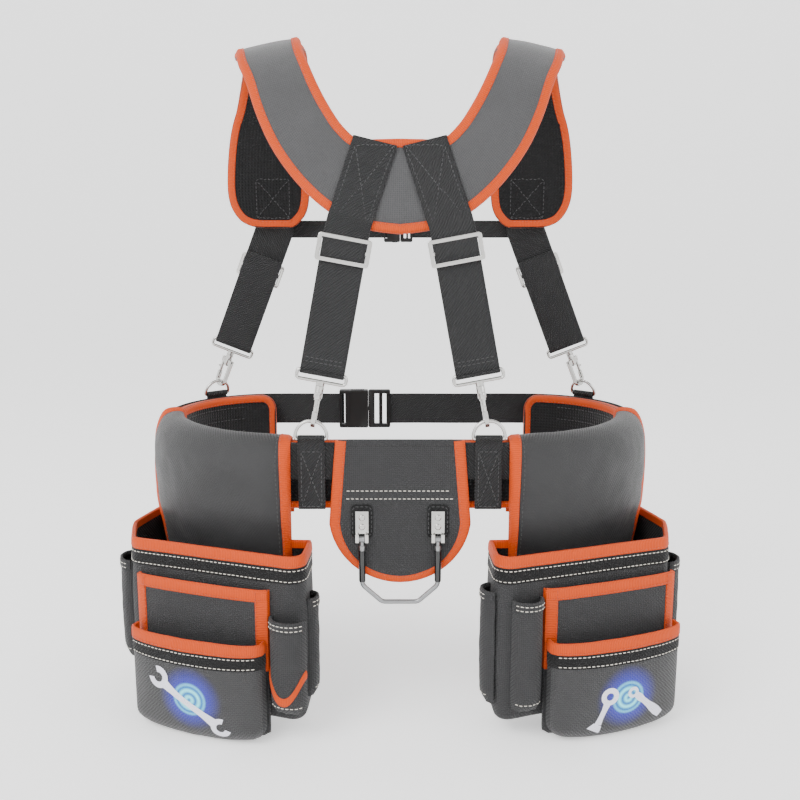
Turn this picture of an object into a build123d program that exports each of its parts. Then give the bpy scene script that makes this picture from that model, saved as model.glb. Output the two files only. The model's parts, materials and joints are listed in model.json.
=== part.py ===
"""Padded tool belt with shoulder yoke, two pouches and a hammer holder.

Millimetres. +Z is up, +X is the wearer's right, +Y is the wearer's front.
The origin is the centre of the waist opening, at the middle of the padded belt's height.
"""
import os
from math import cos, radians, sin

from build123d import *

os.makedirs("parts", exist_ok=True)

LEFT = -1
RIGHT = 1
SIDE_NAMES = {LEFT: "left", RIGHT: "right"}

# ---------------------------------------------------------------- driving dimensions
# Padded belt
PAD_HEIGHT = 70.0
PAD_THICKNESS = 12.0
BELT_FLAT_HALF = 105.0      # half the flat stretch across the wearer's back
BACK_DEPTH = 140.0          # from the origin back to the pad's outer face
HIP_RADIUS = 155.0          # outer face of the pad round the hips
FRONT_RADIUS = 105.0        # outer face of the pad towards its two ends
EDGE_BINDING = 7.0          # height of the binding round the pad's edge
BINDING_PROUD = 0.4

# Waist webbing and its buckle
WAIST_WEB_WIDTH = 38.0
WAIST_WEB_THICKNESS = 2.0
WAIST_WEB_RISE = 16.0       # middle of the webbing above the middle of the pad
WEB_STAND_OFF = 3.0         # from the pad's outer face to the webbing
WAIST_BUCKLE_X = -40.0      # line where the two halves of the buckle meet
WEB_END_GAP = 0.3

# Shoulder straps and metal fittings
STRAP_WIDTH = 44.0
STRAP_THICKNESS = 4.2       # two layers of webbing
LOOP_WIDTH = 27.0           # webbing that holds a ring on the belt
LOOP_THICKNESS = 2.0
RING_WIRE = 3.4
RING_INSIDE = 28.0
BACK_RING_X = 88.0
FRONT_RING_ANGLE = 50.3     # round the front radius, from straight sideways
HOOK_THICKNESS = 4.2
HOOK_INSIDE_RADIUS = 6.0
HOOK_METAL = 3.6
HOOK_PLAY = 0.9             # between the ring's wire and the bottom of the hook
PIN_RADIUS = 2.0
RUNNING_CLEARANCE = 0.06
BOLT_RADIUS = 1.8
KNOB_RADIUS = 1.5
BOLT_TRAVEL = 6.0

# Shoulder yoke
YOKE_PAD_THICKNESS = 6.0
YOKE_LINING_THICKNESS = 2.0
YOKE_BINDING = 9.0
YOKE_TOP = 450.0            # height of the shoulder line carried to the middle
SHOULDER_DROP = 0.2         # fall of the shoulders for each millimetre sideways
YOKE_BEND = 70.0
STRAP_GAP = 0.4

# Chest strap
CHEST_WEB_WIDTH = 20.0
CHEST_WEB_THICKNESS = 2.0
CHEST_HEIGHT = 239.0

# Hammer holder
HOLDER_TOP_HALF = 64.0
HOLDER_WIDE_HALF = 71.0
HOLDER_WIDE_Z = -48.0
HOLDER_BOTTOM = -110.0
HOLDER_THICKNESS = 4.0
HOLDER_BINDING = 12.0
TUNNEL_GAP = 0.5
HAMMER_LOOP_HALF = 38.0
HAMMER_WIRE_RADIUS = 2.4

# Pouches
POUCH_TOP = -66.0
POUCH_RIM_BOTTOM = -93.0
POUCH_BOTTOM = -235.0
POUCH_WALL = 3.0
HANGER_START = 1.0          # degrees round the hip, from straight behind
HANGER_END = 86.0
HANGER_THICKNESS = 11.5
HANGER_NARROWING = 46.0     # how much narrower the hanger is at its lower end
FRONT_POCKET_TOP = -150.0
FRONT_RIM_BOTTOM = -174.0
FRONT_POCKET_BOTTOM = -254.0
FRONT_POCKET_WIDTH = 145.0
FRONT_POCKET_START = {LEFT: 36.0, RIGHT: 50.0}
TOOL_POCKET_TOP = -100.0
TOOL_POCKET_DEPTH = 12.0
FRONT_POCKET_DEPTH = 29.0
SLEEVE_WALL = 2.0

# ---------------------------------------------------------------- sizes that follow
HIP_X = BELT_FLAT_HALF
HIP_Y = HIP_RADIUS - BACK_DEPTH
FRONT_X = HIP_X + HIP_RADIUS - FRONT_RADIUS
PAD_TOP = PAD_HEIGHT / 2
WEB_OUTSIDE = WEB_STAND_OFF + WAIST_WEB_THICKNESS
WEB_TOP = WAIST_WEB_RISE + WAIST_WEB_WIDTH / 2
WEB_BOTTOM = WAIST_WEB_RISE - WAIST_WEB_WIDTH / 2
LOOP_STAND_OFF = WEB_OUTSIDE + 0.3
RING_RADIUS = RING_WIRE / 2
RING_HALF = RING_INSIDE / 2 + RING_RADIUS
LOOP_TUBE_RADIUS = RING_RADIUS + RUNNING_CLEARANCE + LOOP_THICKNESS
BELT_TOP = max(PAD_TOP, WEB_TOP)      # whichever of the pad and the webbing stands higher
RING_BAR_Z = BELT_TOP + 0.3 + LOOP_TUBE_RADIUS
RING_BAR_OUT = LOOP_STAND_OFF + LOOP_THICKNESS / 2
RING_CORNER = 2.0
RING_RISE = RING_CORNER + 0.2   # straight part of the ring above its bar
UP = Vector(0, 0, 1)


def finish(piece, name):
    """Label a finished piece and write it out."""
    piece.part.label = name
    export_step(piece.part, f"parts/{name}.step")


def across(direction, axis):
    """The part of a direction that stands square to an axis, at unit length."""
    return (direction - axis * direction.dot(axis)).normalized()


# ---------------------------------------------------------------- padded belt
def belt_outline(stand_off):
    """The belt's outline from above, carried outward from the pad's outer face."""
    hip = HIP_RADIUS + stand_off
    front = FRONT_RADIUS + stand_off
    with BuildLine() as outline:
        Line((-HIP_X, HIP_Y - hip), (HIP_X, HIP_Y - hip))
        CenterArc((HIP_X, HIP_Y), hip, -90, 90)
        CenterArc((FRONT_X, HIP_Y), front, 0, 90)
        Line((FRONT_X, HIP_Y + front), (-FRONT_X, HIP_Y + front))
        CenterArc((-FRONT_X, HIP_Y), front, 90, 90)
        CenterArc((-HIP_X, HIP_Y), hip, 180, 90)
    return outline.line


def belt_band(height, inner, outer, front_gap_half, gap_middle=0.0):
    """Band between two stand-offs, left open across the wearer's front."""
    with BuildSketch(Plane.XY.offset(height)) as band:
        make_face(belt_outline(outer).edges())
        make_face(belt_outline(inner).edges(), mode=Mode.SUBTRACT)
        with Locations((gap_middle, HIP_Y + FRONT_RADIUS)):
            Rectangle(2 * front_gap_half, 2 * (PAD_THICKNESS + WEB_OUTSIDE), mode=Mode.SUBTRACT)
    return band.sketch


PAD_BODY_BOTTOM = EDGE_BINDING - PAD_TOP
PAD_BODY_HEIGHT = PAD_HEIGHT - 2 * EDGE_BINDING

with BuildPart() as padded_belt:
    extrude(belt_band(PAD_BODY_BOTTOM, -PAD_THICKNESS, 0, FRONT_X + EDGE_BINDING),
            amount=PAD_BODY_HEIGHT)
finish(padded_belt, "padded_belt")

with BuildPart() as belt_binding:
    extrude(belt_band(-PAD_TOP, -PAD_THICKNESS - BINDING_PROUD, BINDING_PROUD, FRONT_X),
            amount=PAD_HEIGHT)
    extrude(belt_band(PAD_BODY_BOTTOM, -PAD_THICKNESS - 2, 2, FRONT_X + EDGE_BINDING),
            amount=PAD_BODY_HEIGHT, mode=Mode.SUBTRACT)
finish(belt_binding, "belt_binding")


# ---------------------------------------------------------------- side release buckles
def buckle_frame(x, y, z):
    """Frame of a buckle: X along the strap towards the plug, Y up, Z to the wearer's back."""
    return Plane(origin=(x, y, z), x_dir=(1, 0, 0), z_dir=(0, -1, 0))


class Buckle:
    """Sizes of one side release buckle, all from the webbing that it joins."""

    def __init__(self, web_width, thickness):
        self.height = web_width + 10
        self.thickness = thickness
        self.socket_length = 0.95 * web_width
        self.plug_length = 0.72 * web_width
        self.wall = thickness / 5
        self.cavity_depth = 0.72 * self.socket_length
        self.cavity_half = self.height / 2 - 1.5 * self.wall
        self.prong_width = 0.13 * web_width
        self.prong_length = self.cavity_depth - 2
        self.prong_middle = self.cavity_half - self.prong_width / 2 - 0.10 * web_width
        self.prong_thickness = thickness - 2 * self.wall - 0.6
        self.pad_start = 0.28 * self.prong_length
        self.pad_end = 0.82 * self.prong_length
        self.web_width = web_width


def make_socket(name, frame, buckle):
    """The half with side windows that takes the plug's prongs."""
    with BuildPart() as socket:
        with BuildSketch(frame):
            with Locations((-buckle.socket_length / 2, 0)):
                RectangleRounded(buckle.socket_length, buckle.height, 2)
        extrude(amount=buckle.thickness / 2, both=True)
        with BuildSketch(frame):
            with Locations((-buckle.cavity_depth / 2 + 1, 0)):
                Rectangle(buckle.cavity_depth + 2, 2 * buckle.cavity_half)
            window_length = buckle.pad_end - buckle.pad_start + 3
            with Locations((-(buckle.pad_start + buckle.pad_end) / 2, 0)):
                Rectangle(window_length, buckle.height + 2)
        extrude(amount=buckle.thickness / 2 - buckle.wall, both=True, mode=Mode.SUBTRACT)
        with BuildSketch(frame):
            slot_middle = -(buckle.cavity_depth + buckle.socket_length) / 2
            slot = (buckle.socket_length - buckle.cavity_depth) * 0.45
            with Locations((slot_middle, 0)):
                Rectangle(slot, buckle.web_width + 1)
        extrude(amount=buckle.thickness, both=True, mode=Mode.SUBTRACT)
    finish(socket, name)


def make_plug(name, frame, buckle):
    """The half with the ladder bars and the middle guide."""
    with BuildPart() as plug:
        with BuildSketch(frame):
            with Locations((0.4 + buckle.plug_length / 2, 0)):
                RectangleRounded(buckle.plug_length, buckle.height, 2)
            for share in (0.38, 0.74):
                with Locations((0.4 + share * buckle.plug_length, 0)):
                    Rectangle(0.2 * buckle.plug_length, buckle.web_width + 1, mode=Mode.SUBTRACT)
        extrude(amount=0.32 * buckle.thickness, both=True)
        with BuildSketch(frame):
            with Locations((0.5 - buckle.prong_length / 2, 0)):
                Rectangle(buckle.prong_length + 1, buckle.prong_width)
        extrude(amount=buckle.prong_thickness / 2 - 0.3, both=True)
    finish(plug, name)


def make_prong(name, frame, buckle, up):
    """One springy arm of the plug, with the pad that fills the socket's window."""
    arm_outer = buckle.prong_middle + buckle.prong_width / 2
    pad_middle = -(buckle.pad_start + buckle.pad_end) / 2
    pad_reach = buckle.height / 2 + 0.3 - arm_outer
    with BuildPart() as prong:
        with BuildSketch(frame):
            with Locations((-0.8 - (buckle.prong_length - 0.8) / 2, up * buckle.prong_middle)):
                Rectangle(buckle.prong_length - 0.8, buckle.prong_width)
            with Locations((pad_middle, up * (arm_outer + pad_reach / 2))):
                Rectangle(buckle.pad_end - buckle.pad_start, pad_reach)
        extrude(amount=buckle.prong_thickness / 2, both=True)
    finish(prong, name)


def make_buckle(prefix, frame, buckle):
    make_socket(f"{prefix}_buckle_socket", frame, buckle)
    make_plug(f"{prefix}_buckle_plug", frame, buckle)
    make_prong(f"{prefix}_prong_upper", frame, buckle, 1)
    make_prong(f"{prefix}_prong_lower", frame, buckle, -1)


waist_buckle = Buckle(WAIST_WEB_WIDTH, 11)
WAIST_WEB_Y = HIP_Y + FRONT_RADIUS + (WEB_STAND_OFF + WEB_OUTSIDE) / 2
make_buckle("waist", buckle_frame(WAIST_BUCKLE_X, WAIST_WEB_Y, WAIST_WEB_RISE), waist_buckle)

SOCKET_END = waist_buckle.socket_length + WEB_END_GAP
PLUG_END = 0.4 + waist_buckle.plug_length + WEB_END_GAP

with BuildPart() as waist_webbing:
    extrude(belt_band(WEB_BOTTOM, WEB_STAND_OFF, WEB_OUTSIDE, (SOCKET_END + PLUG_END) / 2,
                      WAIST_BUCKLE_X + (PLUG_END - SOCKET_END) / 2),
            amount=WAIST_WEB_WIDTH)
finish(waist_webbing, "waist_webbing")


# ---------------------------------------------------------------- rings on the belt
class RingPlace:
    """Where one ring sits on the belt, and the line along which its strap pulls."""

    def __init__(self, foot, outward, strap_top):
        self.outward = outward
        self.along = Vector(-outward.Y, outward.X, 0)
        self.foot = foot
        self.bar = foot + outward * RING_BAR_OUT + UP * RING_BAR_Z
        self.pull = (strap_top - self.bar).normalized()
        self.upright = across(self.pull, self.along)
        self.arc_centre = self.bar + self.upright * RING_RISE
        self.hook_centre = self.arc_centre + self.pull * (
            RING_HALF - RING_RADIUS + HOOK_INSIDE_RADIUS - HOOK_PLAY)
        self.strap_top = strap_top
        self.hook_frame = Plane(
            origin=self.hook_centre, x_dir=across(self.along, self.pull), z_dir=self.pull)
        side_on = Vector(1, 0, 0) if self.along.X > 0 else Vector(-1, 0, 0)
        self.strap_frame = Plane(
            origin=self.hook_centre, x_dir=across(side_on, self.pull), z_dir=self.pull)


def back_place(side):
    return RingPlace(Vector(side * BACK_RING_X, -BACK_DEPTH, 0), Vector(0, -1, 0),
                     strap_meets_yoke(side))


def front_place(side):
    turn = radians(FRONT_RING_ANGLE)
    outward = Vector(side * cos(turn), sin(turn), 0)
    foot = Vector(side * FRONT_X, HIP_Y, 0) + outward * FRONT_RADIUS
    return RingPlace(foot, outward, Vector(side * FRONT_STRAP_X, FRONT_STRAP_Y, CHEST_HEIGHT))


def make_loops(name, places):
    """Webbing tabs sewn to the belt, each closed round the bar of a ring."""
    with BuildPart() as loops:
        for place in places:
            wall = Plane(origin=place.foot, x_dir=place.along, z_dir=place.outward)
            with BuildSketch(wall.offset(LOOP_STAND_OFF)):
                with Locations((0, (RING_BAR_Z - PAD_TOP + 2) / 2)):
                    Rectangle(LOOP_WIDTH, RING_BAR_Z + PAD_TOP - 2)
            extrude(amount=LOOP_THICKNESS)
        for place in places:
            with BuildSketch(Plane(origin=place.bar, x_dir=place.outward, z_dir=place.along)):
                Circle(LOOP_TUBE_RADIUS)
            extrude(amount=LOOP_WIDTH / 2, both=True)
        for place in places:
            with BuildSketch(Plane(origin=place.bar, x_dir=place.outward, z_dir=place.along)):
                Circle(RING_RADIUS + RUNNING_CLEARANCE)
            extrude(amount=LOOP_WIDTH, both=True, mode=Mode.SUBTRACT)
    finish(loops, name)


def make_ring(name, place):
    """Half round ring of wire, with its straight bar in the webbing loop."""
    plane = Plane(origin=place.bar, x_dir=place.along,
                  z_dir=place.along.cross(place.upright))
    with BuildPart() as ring:
        with BuildLine(plane) as wire:
            FilletPolyline((-RING_HALF, RING_RISE), (-RING_HALF, 0), (RING_HALF, 0),
                           (RING_HALF, RING_RISE), radius=RING_CORNER)
            ThreePointArc((RING_HALF, RING_RISE), (0, RING_RISE + RING_HALF),
                          (-RING_HALF, RING_RISE))
        crown = place.arc_centre + place.upright * RING_HALF
        with BuildSketch(Plane(origin=crown, x_dir=place.upright, z_dir=place.along)):
            Circle(RING_RADIUS)
        sweep(path=wire.line)
    finish(ring, name)


# ---------------------------------------------------------------- swivel hooks
HOOK_OUTER = HOOK_INSIDE_RADIUS + HOOK_METAL
BLOCK_BOTTOM = 20.0
BLOCK_TOP = 26.0
BARREL_TOP = 32.0
BARREL_RADIUS = 4.2
TIP_TOP = 7.0
BOLT_OFF = HOOK_INSIDE_RADIUS + HOOK_METAL / 2
EYE_LOW_BAR = 36.4
EYE_HIGH_BAR = 45.4
EYE_WIRE_RADIUS = 1.7
EYE_HALF = STRAP_WIDTH / 2 + 0.8 + EYE_WIRE_RADIUS
STRAP_TUBE_RADIUS = 3.9
SLIDER_WIDTH = STRAP_WIDTH + 9
SLIDER_HEIGHT = 27.0
SLIDER_BAR = 4.0
SLIDER_SLOT = (SLIDER_HEIGHT - 3 * SLIDER_BAR) / 2
SLIDER_THICKNESS = 2.6


def make_hook(name, place):
    """Hook with a round bottom, a bored block for the bolt and a barrel for the swivel pin."""
    frame = place.hook_frame
    side = Plane(origin=frame.origin, x_dir=frame.y_dir, z_dir=frame.x_dir)
    with BuildPart() as hook:
        with BuildSketch(side):
            Circle(HOOK_OUTER)
            Circle(HOOK_INSIDE_RADIUS, mode=Mode.SUBTRACT)
            with Locations((0, HOOK_OUTER / 2)):
                Rectangle(2 * HOOK_OUTER + 1, HOOK_OUTER, mode=Mode.SUBTRACT)
            with Locations((BOLT_OFF, BLOCK_BOTTOM / 2)):
                Rectangle(HOOK_METAL, BLOCK_BOTTOM)
            with Locations((-BOLT_OFF, TIP_TOP / 2)):
                Rectangle(HOOK_METAL, TIP_TOP)
            with Locations((0, (BLOCK_BOTTOM + BLOCK_TOP) / 2)):
                Rectangle(2 * HOOK_OUTER + 1.2, BLOCK_TOP - BLOCK_BOTTOM)
        extrude(amount=HOOK_THICKNESS / 2, both=True)
        with BuildSketch(frame.offset(BLOCK_BOTTOM)):
            Circle(BARREL_RADIUS)
            with Locations((0, -BOLT_OFF)):
                Circle(BOLT_RADIUS + 1.2)
        extrude(amount=BLOCK_TOP - BLOCK_BOTTOM)
        with BuildSketch(frame.offset(BLOCK_TOP)):
            Circle(BARREL_RADIUS)
        extrude(amount=BARREL_TOP - BLOCK_TOP)
        with BuildSketch(frame.offset(BLOCK_BOTTOM - 1)):
            Circle(PIN_RADIUS + RUNNING_CLEARANCE)
            with Locations((0, -BOLT_OFF)):
                Circle(BOLT_RADIUS + RUNNING_CLEARANCE)
        extrude(amount=BARREL_TOP - BLOCK_BOTTOM + 2, mode=Mode.SUBTRACT)
    finish(hook, name)


def make_bolt(name, place):
    """Sprung bolt that closes the hook's mouth, with its thumb knob."""
    frame = place.hook_frame
    knob_height = BLOCK_BOTTOM - BOLT_TRAVEL - KNOB_RADIUS - 0.7
    with BuildPart() as bolt:
        with BuildSketch(frame.offset(TIP_TOP + 0.3)):
            with Locations((0, -BOLT_OFF)):
                Circle(BOLT_RADIUS)
        extrude(amount=BLOCK_TOP - TIP_TOP - 1.3)
        knob_plane = Plane(origin=frame.origin + frame.z_dir * knob_height
                           - frame.y_dir * BOLT_OFF, x_dir=frame.x_dir, z_dir=-frame.y_dir)
        with BuildSketch(knob_plane):
            Circle(KNOB_RADIUS)
        extrude(amount=5.5)
    finish(bolt, name)


def make_eyes(name, places):
    """Wide wire eyes in the straps' ends, each with a headed pin for its hook to turn on."""
    with BuildPart() as eyes:
        for place in places:
            frame = place.strap_frame
            upright = Plane(origin=frame.origin, x_dir=frame.x_dir, z_dir=-frame.y_dir)
            with BuildLine(upright) as wire:
                FilletPolyline((-EYE_HALF, EYE_LOW_BAR), (EYE_HALF, EYE_LOW_BAR),
                               (EYE_HALF, EYE_HIGH_BAR), (-EYE_HALF, EYE_HIGH_BAR),
                               radius=3, close=True)
            with BuildSketch(Plane(origin=wire.line @ 0, x_dir=frame.y_dir,
                                   z_dir=wire.line % 0)):
                Circle(EYE_WIRE_RADIUS)
            sweep(path=wire.line)
        for place in places:
            with BuildSketch(place.strap_frame.offset(BARREL_TOP + 0.3)):
                Circle(BARREL_RADIUS)
            extrude(amount=EYE_LOW_BAR - BARREL_TOP - 0.3)
            with BuildSketch(place.strap_frame.offset(BLOCK_BOTTOM - 1.5)):
                Circle(PIN_RADIUS)
            extrude(amount=EYE_LOW_BAR - BLOCK_BOTTOM + 1.5)
            with BuildSketch(place.strap_frame.offset(BLOCK_BOTTOM - 2.4)):
                Circle(PIN_RADIUS + 1.4)
            extrude(amount=2.1)
    finish(eyes, name)


def strap_run(place):
    """Flat strap from the eye to its top, closed round the eye's upper bar."""
    frame = place.strap_frame
    length = (place.strap_top - place.hook_centre).dot(place.pull) - EYE_HIGH_BAR
    tube = Plane(origin=frame.origin + frame.z_dir * EYE_HIGH_BAR,
                 x_dir=frame.y_dir, z_dir=frame.x_dir)
    with BuildPart() as run:
        with BuildSketch(frame.offset(EYE_HIGH_BAR)):
            Rectangle(STRAP_WIDTH, STRAP_THICKNESS)
        extrude(amount=length)
        with BuildSketch(tube):
            Circle(STRAP_TUBE_RADIUS)
        extrude(amount=STRAP_WIDTH / 2, both=True)
        with BuildSketch(tube):
            Circle(EYE_WIRE_RADIUS + RUNNING_CLEARANCE)
        extrude(amount=STRAP_WIDTH, both=True, mode=Mode.SUBTRACT)
    return run.part


def make_slider(name, place, height):
    """Tri-glide slider lying on the strap's outer face: two side rails and three bars."""
    frame = place.strap_frame
    toward_back = -1 if place.outward.Y < 0 else 1
    out = frame.y_dir * (toward_back if frame.y_dir.Y > 0 else -toward_back)
    lie = Plane(origin=frame.origin + frame.z_dir * height
                + out * (STRAP_THICKNESS / 2 + STRAP_GAP),
                x_dir=frame.x_dir, z_dir=out)
    with BuildPart() as slider:
        with BuildSketch(lie):
            RectangleRounded(SLIDER_WIDTH, SLIDER_HEIGHT, 3)
            with GridLocations(0, SLIDER_BAR + SLIDER_SLOT, 1, 2):
                Rectangle(STRAP_WIDTH + 1, SLIDER_SLOT, mode=Mode.SUBTRACT)
        extrude(amount=SLIDER_THICKNESS)
    finish(slider, name)


# ---------------------------------------------------------------- shoulder yoke
YOKE_BACK_LOW = (-127.0, 228.0)
YOKE_BACK_HIGH = (-88.0, YOKE_TOP)
YOKE_FRONT_HIGH = (64.0, YOKE_TOP)
YOKE_FRONT_LOW = (74.0, 235.0)
BACK_LEAN = (YOKE_BACK_HIGH[0] - YOKE_BACK_LOW[0]) / (YOKE_BACK_HIGH[1] - YOKE_BACK_LOW[1])
YOKE_SPLIT = 12.0           # the back and front outlines meet this far behind the origin
STRAP_BOTTOM_X = 50.0       # middle of a back strap where it leaves the yoke
STRAP_TOP_X = STRAP_WIDTH / 2 + 1.6
PATCH_TOP_Z = 326.0
PATCH_BOTTOM_Z = 236.0
FRONT_STRAP_X = 147.0
FRONT_STRAP_Y = YOKE_FRONT_LOW[0] + YOKE_PAD_THICKNESS + STRAP_GAP + STRAP_THICKNESS / 2


def yoke_surface(side, x, z):
    """Point where the pad meets the lining, on the flat back of the yoke."""
    y = YOKE_BACK_LOW[0] + BACK_LEAN * (z + SHOULDER_DROP * abs(x) - YOKE_BACK_LOW[1])
    return Vector(side * abs(x), y, z)


def yoke_outward(side):
    return Vector(side * BACK_LEAN * SHOULDER_DROP, -1, BACK_LEAN).normalized()


def strap_meets_yoke(side):
    """Middle of a back strap's thickness at the bottom edge of the yoke."""
    stand_off = YOKE_PAD_THICKNESS + STRAP_GAP + STRAP_THICKNESS / 2
    return yoke_surface(side, STRAP_BOTTOM_X, PATCH_BOTTOM_Z + 6) + yoke_outward(side) * stand_off


def yoke_shell(outside, inside):
    """Shell that follows the shoulders, from one stand-off to another."""
    with BuildLine() as line:
        FilletPolyline(YOKE_BACK_LOW, YOKE_BACK_HIGH, YOKE_FRONT_HIGH, YOKE_FRONT_LOW,
                       radius=YOKE_BEND)
    with BuildSketch(Plane.YZ) as section:
        if outside:
            make_face(line.wire().offset_2d(outside, side=Side.LEFT).edges())
        if inside:
            make_face(line.wire().offset_2d(inside, side=Side.RIGHT).edges())
    with BuildPart() as shell:
        for side in (LEFT, RIGHT):
            extrude(section.sketch, amount=230, dir=(side, 0, -SHOULDER_DROP))
    return shell.part


def back_outline():
    """The yoke seen from behind: back panel and the rear half of both arms."""
    with BuildSketch(Plane.XZ.offset(YOKE_SPLIT)) as outline:
        with BuildLine():
            ThreePointArc((0, 237), (34, 243), (67, 258))
            ThreePointArc((67, 258), (122, 315), (150, 382))
            Polyline((150, 382), (168, 416), (172, 470), (104, 470), (101, 428), (87, 394))
            ThreePointArc((87, 394), (67, 357), (41, 328))
            Polyline((41, 328), (0, 328), (0, 237))
        make_face()
        mirror(about=Plane.YZ)
    return outline.sketch


def front_outline():
    """The yoke seen from the front: the front half of both arms, with rounded tips."""
    with BuildSketch(Plane.XZ.offset(YOKE_SPLIT)) as outline:
        with BuildLine():
            FilletPolyline((101, 428), (106, 240), (199, 240), (196, 330), (168, 416),
                           radius=(30, 44, 60))
            Polyline((168, 416), (172, 470), (104, 470), (101, 428))
        make_face()
        mirror(about=Plane.YZ)
    return outline.sketch


def outline_prism(inset):
    """Solid behind and before the yoke's outlines, drawn in by an inset."""
    with BuildPart() as prism:
        for outline, depth in ((back_outline(), 150), (front_outline(), -120)):
            with BuildSketch(Plane.XZ.offset(YOKE_SPLIT)) as drawn_in:
                add(outline)
                if inset:
                    offset(amount=-inset)
            extrude(drawn_in.sketch, amount=depth)
    return prism.part


INNER_PRISM = outline_prism(YOKE_BINDING)
OUTER_PRISM = outline_prism(0)
YOKE_PAD_FACE = YOKE_PAD_THICKNESS - BINDING_PROUD

with BuildPart() as yoke_pad:
    add(yoke_shell(YOKE_PAD_FACE, 0))
    add(INNER_PRISM, mode=Mode.INTERSECT)
finish(yoke_pad, "yoke_pad")

with BuildPart() as yoke_lining:
    add(yoke_shell(0, YOKE_LINING_THICKNESS))
    add(INNER_PRISM, mode=Mode.INTERSECT)
finish(yoke_lining, "yoke_lining")

with BuildPart() as yoke_binding:
    add(yoke_shell(YOKE_PAD_THICKNESS, YOKE_LINING_THICKNESS + BINDING_PROUD))
    add(OUTER_PRISM, mode=Mode.INTERSECT)
    add(INNER_PRISM, mode=Mode.SUBTRACT)
finish(yoke_binding, "yoke_binding")

# ---------------------------------------------------------------- straps, rings and hooks
BACK_PLACES = {side: back_place(side) for side in (LEFT, RIGHT)}
FRONT_PLACES = {side: front_place(side) for side in (LEFT, RIGHT)}
FRONT_STRAP_TOP = 300.0     # the front straps are sewn this far up the yoke's ends
SLIDER_HEIGHTS = {"back": 166.0, "front": 142.0}

make_loops("back_ring_loops", BACK_PLACES.values())
make_loops("front_ring_loops", FRONT_PLACES.values())
make_eyes("swivel_eyes", list(BACK_PLACES.values()) + list(FRONT_PLACES.values()))

for part_name, places in (("back", BACK_PLACES), ("front", FRONT_PLACES)):
    for side, place in places.items():
        where = f"{part_name}_{{}}_{SIDE_NAMES[side]}"
        make_ring(where.format("ring"), place)
        make_hook(where.format("hook"), place)
        make_bolt(where.format("bolt"), place)
        make_slider(where.format("slider"), place, SLIDER_HEIGHTS[part_name])

for side, place in BACK_PLACES.items():
    outward = yoke_outward(side)
    face = yoke_surface(side, 0, PATCH_BOTTOM_Z) + outward * (YOKE_PAD_THICKNESS + STRAP_GAP)
    sewn = Plane(origin=face, x_dir=across(Vector(1, 0, 0), outward), z_dir=outward)
    rise = (PATCH_TOP_Z - PATCH_BOTTOM_Z) / sewn.y_dir.Z
    half = STRAP_WIDTH / 2 + 1
    with BuildPart() as back_strap:
        add(strap_run(place))
        with BuildSketch(sewn):
            with BuildLine():
                Polyline((side * (STRAP_BOTTOM_X - half), 0), (side * (STRAP_BOTTOM_X + half), 0),
                         (side * (STRAP_TOP_X + half), rise), (side * (STRAP_TOP_X - half), rise),
                         close=True)
            make_face()
        extrude(amount=STRAP_THICKNESS / 2)
    finish(back_strap, f"back_strap_{SIDE_NAMES[side]}")

for side, place in FRONT_PLACES.items():
    with BuildPart() as front_strap:
        add(strap_run(place))
        with BuildSketch(Plane.XZ.offset(-FRONT_STRAP_Y - 1.2)):
            with Locations((side * FRONT_STRAP_X, (CHEST_HEIGHT + FRONT_STRAP_TOP) / 2 - 3)):
                Rectangle(STRAP_WIDTH, FRONT_STRAP_TOP - CHEST_HEIGHT + 6)
        extrude(amount=STRAP_THICKNESS / 2)
    finish(front_strap, f"front_strap_{SIDE_NAMES[side]}")

# ---------------------------------------------------------------- chest strap
chest_buckle = Buckle(CHEST_WEB_WIDTH, 8)
CHEST_Y = FRONT_STRAP_Y + STRAP_THICKNESS / 2 + 4.2
CHEST_END_X = FRONT_STRAP_X + 8
make_buckle("chest", buckle_frame(0, CHEST_Y, CHEST_HEIGHT), chest_buckle)

with BuildPart() as chest_strap:
    with BuildSketch(Plane.XZ.offset(-CHEST_Y - CHEST_WEB_THICKNESS / 2)):
        socket_end = chest_buckle.socket_length + WEB_END_GAP
        plug_end = 0.4 + chest_buckle.plug_length + WEB_END_GAP
        for start, end in ((-CHEST_END_X, -socket_end), (plug_end, CHEST_END_X)):
            with Locations(((start + end) / 2, CHEST_HEIGHT)):
                Rectangle(end - start, CHEST_WEB_WIDTH)
    extrude(amount=CHEST_WEB_THICKNESS)
finish(chest_strap, "chest_strap")

# ---------------------------------------------------------------- hammer holder
HOLDER_FACE = BACK_DEPTH + WEB_OUTSIDE + TUNNEL_GAP     # back of the outer panel, behind origin
TUNNEL_BACK = BACK_DEPTH + TUNNEL_GAP
TUNNEL_LINER = WEB_STAND_OFF - 2 * TUNNEL_GAP
HOLDER_TOP = WEB_TOP + 3.0
SEAM_TOP = WEB_BOTTOM - 5.0
SEAM_BOTTOM = SEAM_TOP - 14.0
CLIP_WIDTH = 13.0
CLIP_TOP = -34.0
CLIP_PLATE = 2.0
LOOP_PIN_Z = -62.0
LOOP_PIN_RADIUS = 1.6
LOOP_EYE_RADIUS = 3.1
LOOP_EYE_WIDTH = 5.0
CLIP_FACE = HOLDER_FACE + HOLDER_THICKNESS + BINDING_PROUD
LOOP_PIN_Y = -(CLIP_FACE + LOOP_EYE_RADIUS + 1.2)


def holder_outline(inset):
    """Front view of the hammer holder: straight sides that widen, and a round bottom."""
    with BuildSketch(Plane.XZ.offset(HOLDER_FACE)) as outline:
        with BuildLine():
            Polyline((HOLDER_WIDE_HALF - inset, HOLDER_WIDE_Z), (HOLDER_TOP_HALF - inset, HOLDER_TOP),
                     (-HOLDER_TOP_HALF + inset, HOLDER_TOP),
                     (-HOLDER_WIDE_HALF + inset, HOLDER_WIDE_Z))
            ThreePointArc((-HOLDER_WIDE_HALF + inset, HOLDER_WIDE_Z), (0, HOLDER_BOTTOM + inset),
                          (HOLDER_WIDE_HALF - inset, HOLDER_WIDE_Z))
        make_face()
    return outline.sketch


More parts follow.
